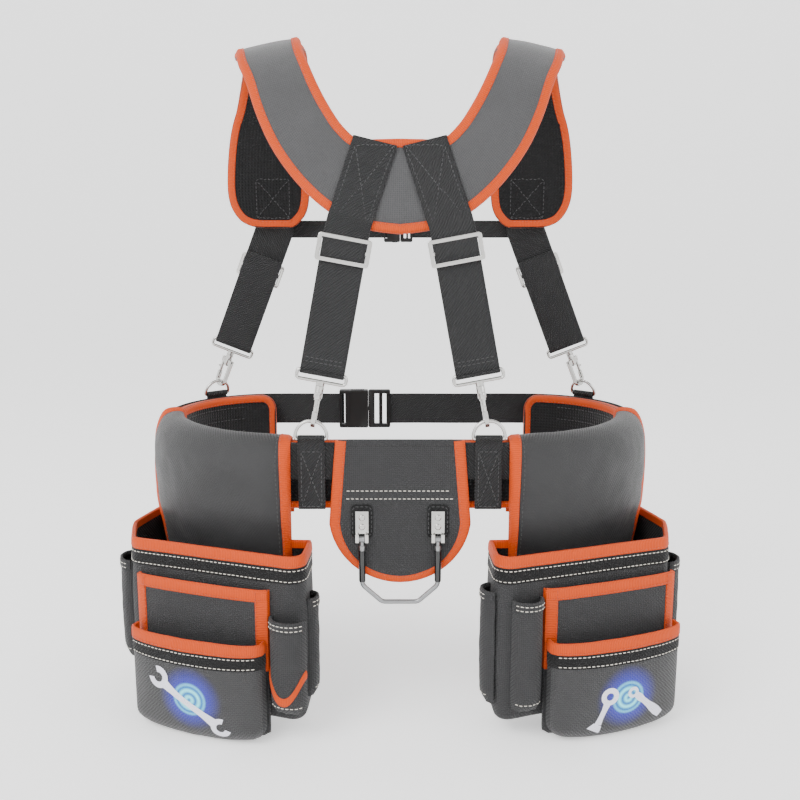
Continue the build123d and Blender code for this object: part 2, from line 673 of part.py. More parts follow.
with BuildPart() as holder_panel:
    extrude(holder_outline(HOLDER_BINDING), amount=HOLDER_THICKNESS)
    with BuildSketch(Plane.YZ) as tunnel:
        with Locations((-(TUNNEL_BACK + HOLDER_FACE) / 2, (HOLDER_TOP + SEAM_BOTTOM) / 2)):
            Rectangle(HOLDER_FACE - TUNNEL_BACK, HOLDER_TOP - SEAM_BOTTOM)
        web_room = WEB_TOP + TUNNEL_GAP - SEAM_TOP
        with Locations((-(TUNNEL_BACK + TUNNEL_LINER + HOLDER_FACE) / 2, SEAM_TOP + web_room / 2)):
            Rectangle(HOLDER_FACE - TUNNEL_BACK - TUNNEL_LINER, web_room, mode=Mode.SUBTRACT)
    extrude(amount=HOLDER_TOP_HALF - HOLDER_BINDING, both=True)
finish(holder_panel, "holder_panel")

with BuildPart() as holder_binding:
    extrude(holder_outline(0), amount=HOLDER_THICKNESS + BINDING_PROUD)
    extrude(holder_outline(HOLDER_BINDING), amount=HOLDER_THICKNESS + 1, mode=Mode.SUBTRACT)
    with Locations((0, -HOLDER_FACE, HOLDER_TOP)):
        Box(2 * (HOLDER_TOP_HALF - HOLDER_BINDING), 20, 2, mode=Mode.SUBTRACT)
finish(holder_binding, "holder_binding")

with BuildPart() as loop_clips:
    for x in (-HAMMER_LOOP_HALF, HAMMER_LOOP_HALF):
        ear_bottom = LOOP_PIN_Z - LOOP_EYE_RADIUS
        ear_top = LOOP_PIN_Z + LOOP_EYE_RADIUS + 1.5
        ear = (CLIP_WIDTH - LOOP_EYE_WIDTH - 1) / 2
        with BuildSketch(Plane.XZ.offset(HOLDER_FACE + HOLDER_THICKNESS)):
            with Locations((x, (CLIP_TOP + ear_top) / 2)):
                Rectangle(CLIP_WIDTH, CLIP_TOP - ear_top)
        extrude(amount=CLIP_PLATE + 0.5)
        with BuildSketch(Plane.XZ.offset(HOLDER_FACE + HOLDER_THICKNESS)):
            for turn in (-1, 1):
                with Locations((x + turn * (CLIP_WIDTH - ear) / 2, (ear_top + ear_bottom) / 2 + 0.5)):
                    Rectangle(ear, ear_top - ear_bottom + 1)
        extrude(amount=-LOOP_PIN_Y - HOLDER_FACE - HOLDER_THICKNESS + LOOP_EYE_RADIUS)
        with BuildSketch(Plane.YZ.offset(x)):
            with Locations((LOOP_PIN_Y, LOOP_PIN_Z)):
                Circle(LOOP_PIN_RADIUS)
        extrude(amount=CLIP_WIDTH / 2 - 0.5, both=True)
finish(loop_clips, "loop_clips")

with BuildPart() as hammer_loop:
    with BuildLine(Plane.XZ.offset(-LOOP_PIN_Y)) as wire:
        FilletPolyline((-HAMMER_LOOP_HALF, LOOP_PIN_Z - LOOP_EYE_RADIUS + 0.6),
                       (-HAMMER_LOOP_HALF, -110), (-18, -128), (18, -128),
                       (HAMMER_LOOP_HALF, -110),
                       (HAMMER_LOOP_HALF, LOOP_PIN_Z - LOOP_EYE_RADIUS + 0.6), radius=9)
    with BuildSketch(Plane(origin=wire.line @ 0, x_dir=(1, 0, 0), z_dir=wire.line % 0)):
        Circle(HAMMER_WIRE_RADIUS)
    sweep(path=wire.line)
    for x in (-HAMMER_LOOP_HALF, HAMMER_LOOP_HALF):
        with BuildSketch(Plane.YZ.offset(x)):
            with Locations((LOOP_PIN_Y, LOOP_PIN_Z)):
                Circle(LOOP_EYE_RADIUS)
        extrude(amount=LOOP_EYE_WIDTH / 2, both=True)
    for x in (-HAMMER_LOOP_HALF, HAMMER_LOOP_HALF):
        with BuildSketch(Plane.YZ.offset(x)):
            with Locations((LOOP_PIN_Y, LOOP_PIN_Z)):
                Circle(LOOP_PIN_RADIUS + RUNNING_CLEARANCE)
        extrude(amount=LOOP_EYE_WIDTH, both=True, mode=Mode.SUBTRACT)
finish(hammer_loop, "hammer_loop")

# ---------------------------------------------------------------- pouches
# Every pouch is drawn on the wearer's right and turned over for the left.
HANGER_INSIDE = WEB_OUTSIDE + 1.0
TUNNEL_LINING = 3.0
HIP_INSIDE = HIP_RADIUS - PAD_THICKNESS - BINDING_PROUD - TUNNEL_GAP
HIP_BACK = HIP_Y - HIP_RADIUS       # pad's outer face, straight behind the hip
HIP_SIDE = HIP_X + HIP_RADIUS       # pad's outer face, straight beside the hip
WALL_START = Vector(HIP_X - 12, HIP_BACK - 64)      # inner front corner of the main pocket
WALL_END = Vector(HIP_SIDE + 12, HIP_BACK + 1)      # outer front corner
WALL_ALONG = (WALL_END - WALL_START).normalized()
WALL_OUT = Vector(WALL_ALONG.Y, -WALL_ALONG.X)
POUCH_CORNERS = ((HIP_X - 15, HIP_BACK - 7), (WALL_START.X, WALL_START.Y),
                 (WALL_END.X, WALL_END.Y), (HIP_SIDE + 24, HIP_BACK + 55), (HIP_SIDE + 8, HIP_Y - 40))


def turned(piece, side):
    """A finished shape on the side of the body where it belongs."""
    return piece if side == RIGHT else mirror(piece, about=Plane.YZ, mode=Mode.PRIVATE)


def hip_sector(height, inner, outer, start, end):
    """Sector of a ring round the hip, by the angle from straight behind the wearer."""
    def point(radius, angle):
        turn = radians(angle)
        return (HIP_X + radius * sin(turn), HIP_Y - radius * cos(turn))

    middle = (start + end) / 2
    with BuildSketch(Plane.XY.offset(height)) as sector:
        with BuildLine():
            ThreePointArc(point(inner, start), point(inner, middle), point(inner, end))
            Line(point(inner, end), point(outer, end))
            ThreePointArc(point(outer, end), point(outer, middle), point(outer, start))
            Line(point(outer, start), point(inner, start))
        make_face()
    return sector.sketch


def main_outline(height, growth):
    """Plan of the main pocket, with its back wall against the hip."""
    with BuildSketch(Plane.XY.offset(height)) as plan:
        with BuildLine():
            FilletPolyline(*POUCH_CORNERS, radius=12)
            Line(POUCH_CORNERS[-1], POUCH_CORNERS[0])
        make_face()
        with Locations((HIP_X, HIP_Y)):
            Circle(HIP_RADIUS + HANGER_INSIDE, mode=Mode.SUBTRACT)
        if growth:
            offset(amount=growth)
    return plan.sketch


def wall_plane(height, corner, along):
    """Level plane with X along a wall of the pouch; its -Y side is the outside."""
    return Plane(origin=(corner.X, corner.Y, height), x_dir=(along.X, along.Y, 0), z_dir=(0, 0, 1))


def make_hanger(side):
    outer = HIP_RADIUS + HANGER_INSIDE + HANGER_THICKNESS
    front = HIP_RADIUS + HANGER_INSIDE
    span = (HANGER_START, HANGER_END)
    with BuildPart() as hanger:
        extrude(hip_sector(POUCH_TOP, front, outer, *span), amount=BELT_TOP + 5 - POUCH_TOP)
        extrude(hip_sector(BELT_TOP + 1, HIP_INSIDE - TUNNEL_LINING, front, *span), amount=4)
        extrude(hip_sector(-PAD_TOP - 7, HIP_INSIDE - TUNNEL_LINING, front, *span), amount=6)
        extrude(hip_sector(-PAD_TOP - 7, HIP_INSIDE - TUNNEL_LINING, HIP_INSIDE, *span),
                amount=BELT_TOP + PAD_TOP + 12)
        edge = HIP_Y - outer * cos(radians(HANGER_END))
        low_edge = edge - HANGER_NARROWING
        with BuildSketch(Plane.YZ.offset(HIP_X)):
            with BuildLine():
                Polyline((edge, WEB_TOP - 10), (low_edge, POUCH_TOP), (low_edge, POUCH_TOP - 60),
                         (HIP_Y + 10, POUCH_TOP - 60), (HIP_Y + 10, WEB_TOP - 10), close=True)
            make_face()
        extrude(amount=outer + 10, mode=Mode.SUBTRACT)
    with BuildPart() as hanger_panel:
        add(turned(hanger.part, side))
    finish(hanger_panel, f"{SIDE_NAMES[side]}_hanger")


def make_main_pocket(side):
    with BuildPart() as pocket:
        extrude(main_outline(POUCH_BOTTOM, 0), amount=POUCH_RIM_BOTTOM - POUCH_BOTTOM)
        extrude(main_outline(POUCH_BOTTOM + POUCH_WALL, -POUCH_WALL),
                amount=POUCH_TOP - POUCH_BOTTOM, mode=Mode.SUBTRACT)
    with BuildPart() as main_pocket:
        add(turned(pocket.part, side))
    finish(main_pocket, f"{SIDE_NAMES[side]}_main_pocket")
    with BuildPart() as band:
        extrude(main_outline(POUCH_RIM_BOTTOM, 0.8), amount=POUCH_TOP - POUCH_RIM_BOTTOM)
        extrude(main_outline(POUCH_RIM_BOTTOM, -POUCH_WALL),
                amount=POUCH_TOP - POUCH_RIM_BOTTOM, mode=Mode.SUBTRACT)
        with Locations((HIP_X, HIP_Y, POUCH_RIM_BOTTOM)):
            Cylinder(HIP_RADIUS + HANGER_INSIDE, 100, mode=Mode.SUBTRACT)
    with BuildPart() as main_rim:
        add(turned(band.part, side))
    finish(main_rim, f"{SIDE_NAMES[side]}_main_rim")


def make_tool_pocket(side):
    """Narrow pocket between the main pocket's front and the taller flap before it."""
    start = FRONT_POCKET_START[side]
    with BuildPart() as pocket:
        for height, inset, top, mode in ((FRONT_POCKET_BOTTOM, 0, TOOL_POCKET_TOP, Mode.ADD),
                                         (POUCH_BOTTOM + 4, SLEEVE_WALL, 0, Mode.SUBTRACT)):
            with BuildSketch(wall_plane(height, WALL_START, WALL_ALONG)) as plan:
                depth = TOOL_POCKET_DEPTH - 1.5 * inset
                with Locations((start + FRONT_POCKET_WIDTH / 2, -depth / 2)):
                    Rectangle(FRONT_POCKET_WIDTH - 2 * inset, depth)
            extrude(plan.sketch, amount=top - height, mode=mode)
    with BuildPart() as tool_pocket:
        add(turned(pocket.part, side))
    finish(tool_pocket, f"{SIDE_NAMES[side]}_tool_pocket")


def front_pocket_plan(side, height, growth):
    """Plan of the front pocket: flat against the flap, bowed outward in front."""
    start = FRONT_POCKET_START[side]
    end = start + FRONT_POCKET_WIDTH
    back = -TOOL_POCKET_DEPTH
    corner = back - 0.62 * FRONT_POCKET_DEPTH
    with BuildSketch(wall_plane(height, WALL_START, WALL_ALONG)) as plan:
        with BuildLine():
            Polyline((start, corner), (start, back), (end, back), (end, corner))
            ThreePointArc((end, corner), ((start + end) / 2, back - FRONT_POCKET_DEPTH),
                          (start, corner))
        make_face()
        if growth:
            offset(amount=growth)
            with Locations(((start + end) / 2, back + 10)):
                Rectangle(FRONT_POCKET_WIDTH + 20, 20, mode=Mode.SUBTRACT)
    return plan.sketch


def make_front_pocket(side):
    inside = -2.5
    with BuildPart() as pocket:
        extrude(front_pocket_plan(side, FRONT_POCKET_BOTTOM, 0),
                amount=FRONT_RIM_BOTTOM - FRONT_POCKET_BOTTOM)
        extrude(front_pocket_plan(side, FRONT_POCKET_BOTTOM + 3, inside),
                amount=FRONT_RIM_BOTTOM - FRONT_POCKET_BOTTOM, mode=Mode.SUBTRACT)
    with BuildPart() as front_pocket:
        add(turned(pocket.part, side))
    finish(front_pocket, f"{SIDE_NAMES[side]}_front_pocket")
    with BuildPart() as band:
        extrude(front_pocket_plan(side, FRONT_RIM_BOTTOM, 0.8),
                amount=FRONT_POCKET_TOP - FRONT_RIM_BOTTOM)
        extrude(front_pocket_plan(side, FRONT_RIM_BOTTOM, inside),
                amount=FRONT_POCKET_TOP - FRONT_RIM_BOTTOM, mode=Mode.SUBTRACT)
    with BuildPart() as front_rim:
        add(turned(band.part, side))
    finish(front_rim, f"{SIDE_NAMES[side]}_front_rim")


def sleeve(corner, along, middle, width, depth, bottom, top):
    """Closed-bottomed half round sleeve sewn flat to a wall."""
    with BuildPart() as tube:
        for inset, low, mode in ((0, bottom, Mode.ADD), (SLEEVE_WALL, bottom + 4, Mode.SUBTRACT)):
            half = width / 2 - inset
            with BuildSketch(wall_plane(low, corner, along)) as plan:
                with BuildLine():
                    Line((middle - half, -inset), (middle + half, -inset))
                    ThreePointArc((middle + half, -inset), (middle, inset - depth),
                                  (middle - half, -inset))
                make_face()
            extrude(plan.sketch, amount=top - low, mode=mode)
    return tube.part


INNER_START = Vector(*POUCH_CORNERS[0])
INNER_ALONG = (WALL_START - INNER_START).normalized()
OUTER_ALONG = (Vector(*POUCH_CORNERS[3]) - WALL_END).normalized()

# wall, distance along it, width, depth, bottom and top of each sleeve
SLEEVES = {
    LEFT: ((WALL_START, WALL_ALONG, 15.0, 37.0, 18.0, -222.0, -126.0),
           (INNER_START, INNER_ALONG, 30.0, 24.0, 11.0, -214.0, -112.0),
           (WALL_END, OUTER_ALONG, 27.0, 34.0, 14.0, -200.0, -94.0)),
    RIGHT: ((WALL_START, WALL_ALONG, 31.0, 31.0, 18.0, -222.0, -108.0),
            (INNER_START, INNER_ALONG, 36.0, 27.0, 13.0, -218.0, -102.0),
            (WALL_END, OUTER_ALONG, 27.0, 34.0, 14.0, -200.0, -96.0)),
}


def make_sleeves(side):
    with BuildPart() as tool_sleeves:
        for sizes in SLEEVES[side]:
            add(turned(sleeve(*sizes), side))
    finish(tool_sleeves, f"{SIDE_NAMES[side]}_tool_sleeves")


for side in (LEFT, RIGHT):
    make_hanger(side)
    make_main_pocket(side)
    make_tool_pocket(side)
    make_front_pocket(side)
    make_sleeves(side)
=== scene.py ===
"""Looks of the padded tool belt: cloth, tape, webbing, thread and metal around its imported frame."""
import json
from math import acos, atan2, cos, degrees, exp, pi, radians, sin, sqrt, tan

import bmesh
import bpy
from bpy.props import FloatProperty, FloatVectorProperty, PointerProperty
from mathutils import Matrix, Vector, noise


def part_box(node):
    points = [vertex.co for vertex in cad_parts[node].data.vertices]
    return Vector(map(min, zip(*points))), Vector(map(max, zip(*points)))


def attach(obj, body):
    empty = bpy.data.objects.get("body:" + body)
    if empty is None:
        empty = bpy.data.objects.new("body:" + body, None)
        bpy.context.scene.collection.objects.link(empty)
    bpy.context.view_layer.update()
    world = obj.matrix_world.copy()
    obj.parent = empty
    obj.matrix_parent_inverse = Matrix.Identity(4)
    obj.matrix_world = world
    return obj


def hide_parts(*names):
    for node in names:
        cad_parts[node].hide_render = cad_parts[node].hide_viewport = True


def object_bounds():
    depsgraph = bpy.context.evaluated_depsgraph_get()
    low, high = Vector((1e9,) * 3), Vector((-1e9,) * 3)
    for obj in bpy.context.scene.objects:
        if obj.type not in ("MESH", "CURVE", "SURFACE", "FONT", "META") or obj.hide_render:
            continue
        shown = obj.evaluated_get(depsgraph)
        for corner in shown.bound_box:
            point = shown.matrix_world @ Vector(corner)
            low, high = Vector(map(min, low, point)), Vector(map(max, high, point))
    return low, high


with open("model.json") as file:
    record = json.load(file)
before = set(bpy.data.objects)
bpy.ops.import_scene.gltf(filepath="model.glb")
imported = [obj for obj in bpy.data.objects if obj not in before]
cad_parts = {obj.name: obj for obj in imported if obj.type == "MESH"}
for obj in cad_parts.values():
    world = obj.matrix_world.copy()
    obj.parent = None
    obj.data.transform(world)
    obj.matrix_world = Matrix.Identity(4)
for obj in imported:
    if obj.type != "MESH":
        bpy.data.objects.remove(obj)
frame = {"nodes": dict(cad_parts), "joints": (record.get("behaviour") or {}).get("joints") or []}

bl_info = {
    "name": "Tool Belt Looks",
    "version": (1, 0, 0),
    "blender": (4, 5, 0),
    "location": "View3D > Sidebar > Tool Belt",
    "description": "Builds the cloth, tape, webbing, thread and metal of a padded tool belt",
    "category": "Object",
}

CAD_BOX = [list(corner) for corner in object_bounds()]
JOINTS = {joint["name"]: joint for joint in frame["joints"]}
MM = 0.001
SIDES = {"left": -1, "right": 1}
UP, BEHIND, AHEAD = Vector((0, 0, 1)), Vector((0, -1, 0)), Vector((0, 1, 0))
SMOOTH_ANGLE, METAL_ANGLE = 50, 38      # degrees over which an edge of a soft or metal piece is sharp

# ---------------------------------------------------------------- sizes of the belt, in millimetres
HIP_X, HIP_Y, HIP_RADIUS = 105.0, 15.0, 155.0
FRONT_X, FRONT_RADIUS = 155.0, 105.0
FRONT_START = HIP_X + HIP_RADIUS * pi / 2
BELT_END = FRONT_START + FRONT_RADIUS * pi / 2
PAD_HEIGHT, PAD_THICKNESS, PAD_CORNER = 70.0, 12.0, 18.0
WEB_WIDTH, WEB_MIDDLE, WEB_OFF = 38.0, 16.0, 4.0
LOOP_WIDTH, LOOP_OFF = 27.0, 6.3
STRAP_WIDTH = 44.0
BAR_HEIGHT = 45.4           # from a hook's middle to the bar that its strap goes round
PATCH_BOTTOM, PATCH_TOP = 236.0, 326.0
PATCH_TOP_X, PATCH_LOW_X = 23.6, 50.0       # middle of a back strap where it is sewn to the yoke
SLIDER_HEIGHTS = {"back": 166.0, "front": 142.0}    # along a strap, from its hook's middle
HOLDER_FACE, HOLDER_THICKNESS = 145.5, 4.0
HOLDER_TOP, HOLDER_WIDE_Z, HOLDER_BOTTOM = 38.0, -48.0, -110.0
HOLDER_TOP_HALF, HOLDER_WIDE_HALF = 64.0, 71.0
HOLDER_TAPE = 11.0
POUCH_TOP, POUCH_BOTTOM, POUCH_WALL = -66.0, -235.0, 3.0
HANGER_START, HANGER_END = 1.0, 86.0
HANGER_NARROWING, HANGER_CUT_TOP = 46.0, 25.0
HANGER_SEAM = 15.5          # from a hanger's edge to the seam beside its tape
WALL_START, WALL_END = Vector((93, -204, 0)), Vector((272, -139, 0))
WALL_ALONG = (WALL_END - WALL_START).normalized()
WALL_OUT = Vector((WALL_ALONG.y, -WALL_ALONG.x, 0))
POUCH_CORNERS = ((90, -147, 0), (93, -204, 0), (272, -139, 0), (284, -85, 0), (268, -25, 0))
POCKET_START = {"left": 36.0, "right": 50.0}
POCKET_WIDTH, POCKET_TOP, POCKET_BOTTOM, POCKET_DEPTH = 145.0, -150.0, -254.0, 29.0
FLAP_TOP, FLAP_DEPTH = -100.0, 12.0


def hex_colour(text):
    """An sRGB hex value as linear red, green, blue and alpha."""
    parts = [int(text[i:i + 2], 16) / 255 for i in (1, 3, 5)]
    return tuple(c / 12.92 if c <= 0.04045 else ((c + 0.055) / 1.055) ** 2.4 for c in parts) + (1.0,)


def colour_property(name, description, text):
    return FloatVectorProperty(name=name, description=description, subtype="COLOR", size=4,
                               min=0, max=1, default=hex_colour(text))


def length_property(name, description, millimetres):
    return FloatProperty(name=name, description=description, unit="LENGTH", subtype="DISTANCE",
                         min=0, precision=5, default=millimetres * MM)


class BeltColours(bpy.types.PropertyGroup):
    """Colours of the cloth, tape, thread and fittings."""

    cloth: colour_property("Cloth", "Grey polyester of pockets and hangers", "#2B2B2C")
    heather: colour_property("Yoke cloth", "Lighter flecked polyester of the shoulder yoke", "#3C3C3D")
    mesh: colour_property("Mesh", "Knitted spacer mesh against the wearer", "#0C0C0D")
    tape: colour_property("Tape", "Grosgrain tape bound round the edges", "#C24100")
    webbing: colour_property("Webbing", "Polypropylene webbing of the straps", "#040405")
    lining: colour_property("Lining", "Lining and bands of the pockets", "#030304")
    thread: colour_property("Light thread", "Thread of the visible seams", "#D8D3C8")
    plating: colour_property("Plating", "Bright nickel on the fittings", "#BDBCB9")
    acetal: colour_property("Acetal", "Moulded plastic of the buckles", "#050505")


class BeltMake(bpy.types.PropertyGroup):
    """How the cloth and tape are made up."""

    thread: length_property("Thread", "Radius of a seam's thread", 0.42)
    stitch: length_property("Stitch", "Length of one stitch", 3.2)
    stitch_gap: length_property("Stitch gap", "Space between two stitches", 1.5)
    weave: length_property("Weave", "Thread spacing of the cloth, drawn coarse enough to show", 2.0)
    rib: length_property("Rib", "Rib spacing of the grosgrain tape", 1.8)
    twill: length_property("Twill", "Spacing of the webbing's slanted ribs", 3.4)
    hole: length_property("Mesh hole", "Spacing of the spacer mesh's holes", 3.6)
    wrinkle: length_property("Wrinkle", "Depth of the cloth's soft wrinkles", 0.9)


class BeltStage(bpy.types.PropertyGroup):
    """Camera and studio."""

    distance: length_property("Distance", "Camera distance behind the origin", 1100)
    height: length_property("Height", "Camera height over the origin", 260)
    pitch: FloatProperty(name="Pitch", description="How far the camera looks down",
                         subtype="ANGLE", default=radians(10.8))
    lens: FloatProperty(name="Lens", description="Focal length in millimetres", default=44.55)
    key: FloatProperty(name="Key light", description="Watts of the main soft box", default=58)
    fill: FloatProperty(name="Fill light", description="Watts of the fill soft box", default=12)


def colours():
    return bpy.context.scene.belt_colours


def make():
    return bpy.context.scene.belt_make


# ---------------------------------------------------------------- materials
def add(tree, kind, settings=None, links=None):
    """Add a node, set its options and sockets, and link its inputs."""
    node = tree.nodes.new(kind)
    for key, value in (settings or {}).items():
        if isinstance(key, str) and key[0].islower():
            setattr(node, key, value)
        else:
            node.inputs[key].default_value = value
    for key, socket in (links or {}).items():
        tree.links.new(socket, node.inputs[key])
    return node


def base(name, sockets):
    """An empty material with its surface shader."""
    material = bpy.data.materials.new(name)
    material.use_nodes = True
    tree = material.node_tree
    tree.nodes.clear()
    shader = add(tree, "ShaderNodeBsdfPrincipled", sockets)
    add(tree, "ShaderNodeOutputMaterial", None, {"Surface": shader.outputs["BSDF"]})
    return material, tree, shader


def flat_place(tree):
    """Place on the cloth laid flat, in metres."""
    return add(tree, "ShaderNodeUVMap", {"uv_map": "UVMap"}).outputs["UV"]


def solid_place(tree):
    """Place in the belt's own frame."""
    return add(tree, "ShaderNodeTexCoord").outputs["Object"]


def speckle(tree, place, **settings):
    """Soft noise between 0 and 1."""
    return add(tree, "ShaderNodeTexNoise", settings, {"Vector": place}).outputs["Fac"]


def vector_math(tree, operation, first, second=None):
    """The output node of a sum on vectors; the second may be a plain value."""
    settings = {"operation": operation}
    if second is not None:
        settings[1] = second
    return add(tree, "ShaderNodeVectorMath", settings, {0: first})


def fade(tree, distance, start, end, strength):
    """A strength that eases down to nothing between two distances."""
    return add(tree, "ShaderNodeMapRange",
               {"interpolation_type": "SMOOTHSTEP", "From Min": start, "From Max": end,
                "To Min": strength, "To Max": 0.0}, {"Value": distance}).outputs["Result"]


def bands(tree, vector, pitch, direction):
    """Parallel ribs at a real spacing in metres, from 0 to 1."""
    wave = add(tree, "ShaderNodeTexWave",
               {"bands_direction": direction, "Scale": pi / 10 / pitch}, {"Vector": vector})
    return wave.outputs["Fac"]


def mixed(tree, kind, factor, first, second):
    """One value mixed from two; each may be a socket or a plain value."""
    node = add(tree, "ShaderNodeMix", {"data_type": kind})
    a, b = (6, 7) if kind == "RGBA" else (2, 3)
    for index, value in ((0, factor), (a, first), (b, second)):
        if isinstance(value, bpy.types.NodeSocket):
            tree.links.new(value, node.inputs[index])
        else:
            node.inputs[index].default_value = value
    return node.outputs[2 if kind == "RGBA" else 0]


def scaled(colour, share):
    return tuple(min(1.0, c * share) for c in colour[:3]) + (1.0,)


def dress(tree, shader, colour, dark, light, height, depth, strength=1.0):
    """Colour that follows a pattern's height, and bump from it, with slow patches of wear."""
    patches = speckle(tree, solid_place(tree), Scale=28.0, Detail=4.0, Roughness=0.6)
    worn = mixed(tree, "FLOAT", 0.22, height, patches)
    tint = mixed(tree, "RGBA", worn, scaled(colour, dark), scaled(colour, light))
    tree.links.new(tint, shader.inputs["Base Color"])
    bump = add(tree, "ShaderNodeBump", {"Strength": strength, "Distance": depth}, {"Height": height})
    tree.links.new(bump.outputs["Normal"], shader.inputs["Normal"])
    return tint


def plain_weave(tree, pitch):
    """Height of a plain weave: warp and weft ribs, one over the other in turn."""
    flat = flat_place(tree)
    over = add(tree, "ShaderNodeTexChecker", {"Scale": 1 / pitch}, {"Vector": flat}).outputs["Fac"]
    return mixed(tree, "FLOAT", over, bands(tree, flat, pitch, "X"), bands(tree, flat, pitch, "Y"))


def woven_polyester(name, colour, dark=0.55, light=1.45):
    """Coated polyester cloth, plain woven: matt, with a soft sheen at grazing angles."""
    material, tree, shader = base(name, {"Roughness": 0.75, "Sheen Weight": 0.08,
                                         "Sheen Roughness": 0.45, "Specular IOR Level": 0.3})
    dress(tree, shader, colour, dark, light, plain_weave(tree, make().weave), 0.0004)
    return material


def padded_polyester(name, colour):
    """Fine polyester stretched over foam: smoother than the pockets, so light rolls over it."""
    material, tree, shader = base(name, {"Roughness": 0.5, "Sheen Weight": 0.1,
                                         "Sheen Roughness": 0.35, "Specular IOR Level": 0.38})
    dress(tree, shader, colour, 0.7, 1.2, plain_weave(tree, make().weave * 0.8), 0.00022)
    return material


def heather_polyester(name, colour):
    """Melange twill: light and dark yarns mixed, which gives a flecked grey."""
    material, tree, shader = base(name, {"Roughness": 0.8, "Sheen Weight": 0.3,
                                         "Sheen Roughness": 0.5, "Specular IOR Level": 0.3})
    stretched = add(tree, "ShaderNodeMapping", {"Scale": (1.0, 0.35, 1.0)}, {"Vector": flat_place(tree)})
    flecks = speckle(tree, stretched.outputs[0], Scale=700.0, Detail=3.0, Roughness=0.7)
    height = mixed(tree, "FLOAT", 0.55, plain_weave(tree, make().weave), flecks)
    dress(tree, shader, colour, 0.3, 1.9, height, 0.0003)
    return material


def spacer_mesh(name, colour):
    """Knitted spacer mesh: round holes in rows, so it reads darker and open."""
    material, tree, shader = base(name, {"Roughness": 0.85, "Sheen Weight": 0.2,
                                         "Specular IOR Level": 0.25})
    cells = add(tree, "ShaderNodeTexVoronoi", {"Scale": 1 / make().hole, "Randomness": 0.15},
                {"Vector": flat_place(tree)}).outputs["Distance"]
    height = add(tree, "ShaderNodeMapRange", {"From Min": 0.22, "From Max": 0.42}, {"Value": cells})
    dress(tree, shader, colour, 0.35, 1.7, height.outputs["Result"], 0.0005)
    return material


def grosgrain(name, colour):
    """Polyester grosgrain tape: fine ribs across its width, with a satin face."""
    material, tree, shader = base(name, {"Roughness": 0.6, "Sheen Weight": 0.04,
                                         "Sheen Roughness": 0.3, "Specular IOR Level": 0.25})
    dress(tree, shader, colour, 0.80, 1.12, bands(tree, flat_place(tree), make().rib, "X"), 0.00035)
    return material


def twill_webbing(name, colour):
    """Polypropylene webbing in herringbone twill: slanted ribs that meet at the middle."""
    material, tree, shader = base(name, {"Roughness": 0.55, "Sheen Weight": 0.05,
                                         "Specular IOR Level": 0.35})
    flat = flat_place(tree)
    parts = add(tree, "ShaderNodeSeparateXYZ", None, {"Vector": flat})
    across = add(tree, "ShaderNodeMath", {"operation": "ABSOLUTE"}, {0: parts.outputs["Y"]})
    slant = add(tree, "ShaderNodeMath", {"operation": "ADD"},
                {0: parts.outputs["X"], 1: across.outputs[0]})
    line = add(tree, "ShaderNodeCombineXYZ", None, {"X": slant.outputs[0], "Y": parts.outputs["Y"]})
    ribs = bands(tree, line.outputs[0], make().twill, "X")
    yarns = bands(tree, flat, make().twill / 2, "Y")
    dress(tree, shader, colour, 0.3, 3.2, mixed(tree, "FLOAT", 0.3, ribs, yarns), 0.0007)
    return material


def twisted_thread(name, colour):
    """Bonded polyester thread: a low twist that catches a little light."""
    material, tree, shader = base(name, {"Roughness": 0.5, "Sheen Weight": 0.2})
    dress(tree, shader, colour, 0.8, 1.15, bands(tree, solid_place(tree), 0.0009, "DIAGONAL"), 0.0001)
    return material


def bright_nickel(name, colour, roughness=0.16):
    """Polished nickel plate on drawn or cast steel: mirror-like, with faint polishing marks."""
    material, tree, shader = base(name, {"Metallic": 1.0, "Base Color": colour})
    marks = speckle(tree, solid_place(tree), Scale=900.0, Detail=5.0)
    rough = add(tree, "ShaderNodeMapRange", {"To Min": roughness * 0.7, "To Max": roughness * 1.8},
                {"Value": marks})
    tree.links.new(rough.outputs["Result"], shader.inputs["Roughness"])
    bump = add(tree, "ShaderNodeBump", {"Strength": 0.15, "Distance": 0.0001}, {"Height": marks})
    tree.links.new(bump.outputs["Normal"], shader.inputs["Normal"])
    return material


def moulded_acetal(name, colour):
    """Injection moulded acetal: a fine spark-eroded grain with a low waxy gloss."""
    material, tree, shader = base(name, {"Roughness": 0.38, "IOR": 1.48})
    grain = speckle(tree, solid_place(tree), Scale=1500.0, Detail=2.0)
    dress(tree, shader, colour, 0.8, 1.3, grain, 0.00008, 0.5)
    return material


def dipped_vinyl(name, colour):
    """Vinyl sleeve, dip moulded: smooth and glossy."""
    material, tree, shader = base(name, {"Roughness": 0.18, "Coat Weight": 0.4, "Coat Roughness": 0.1})
    waves = speckle(tree, solid_place(tree), Scale=220.0, Detail=2.0)
    dress(tree, shader, colour, 0.85, 1.2, waves, 0.0003, 0.3)
    return material


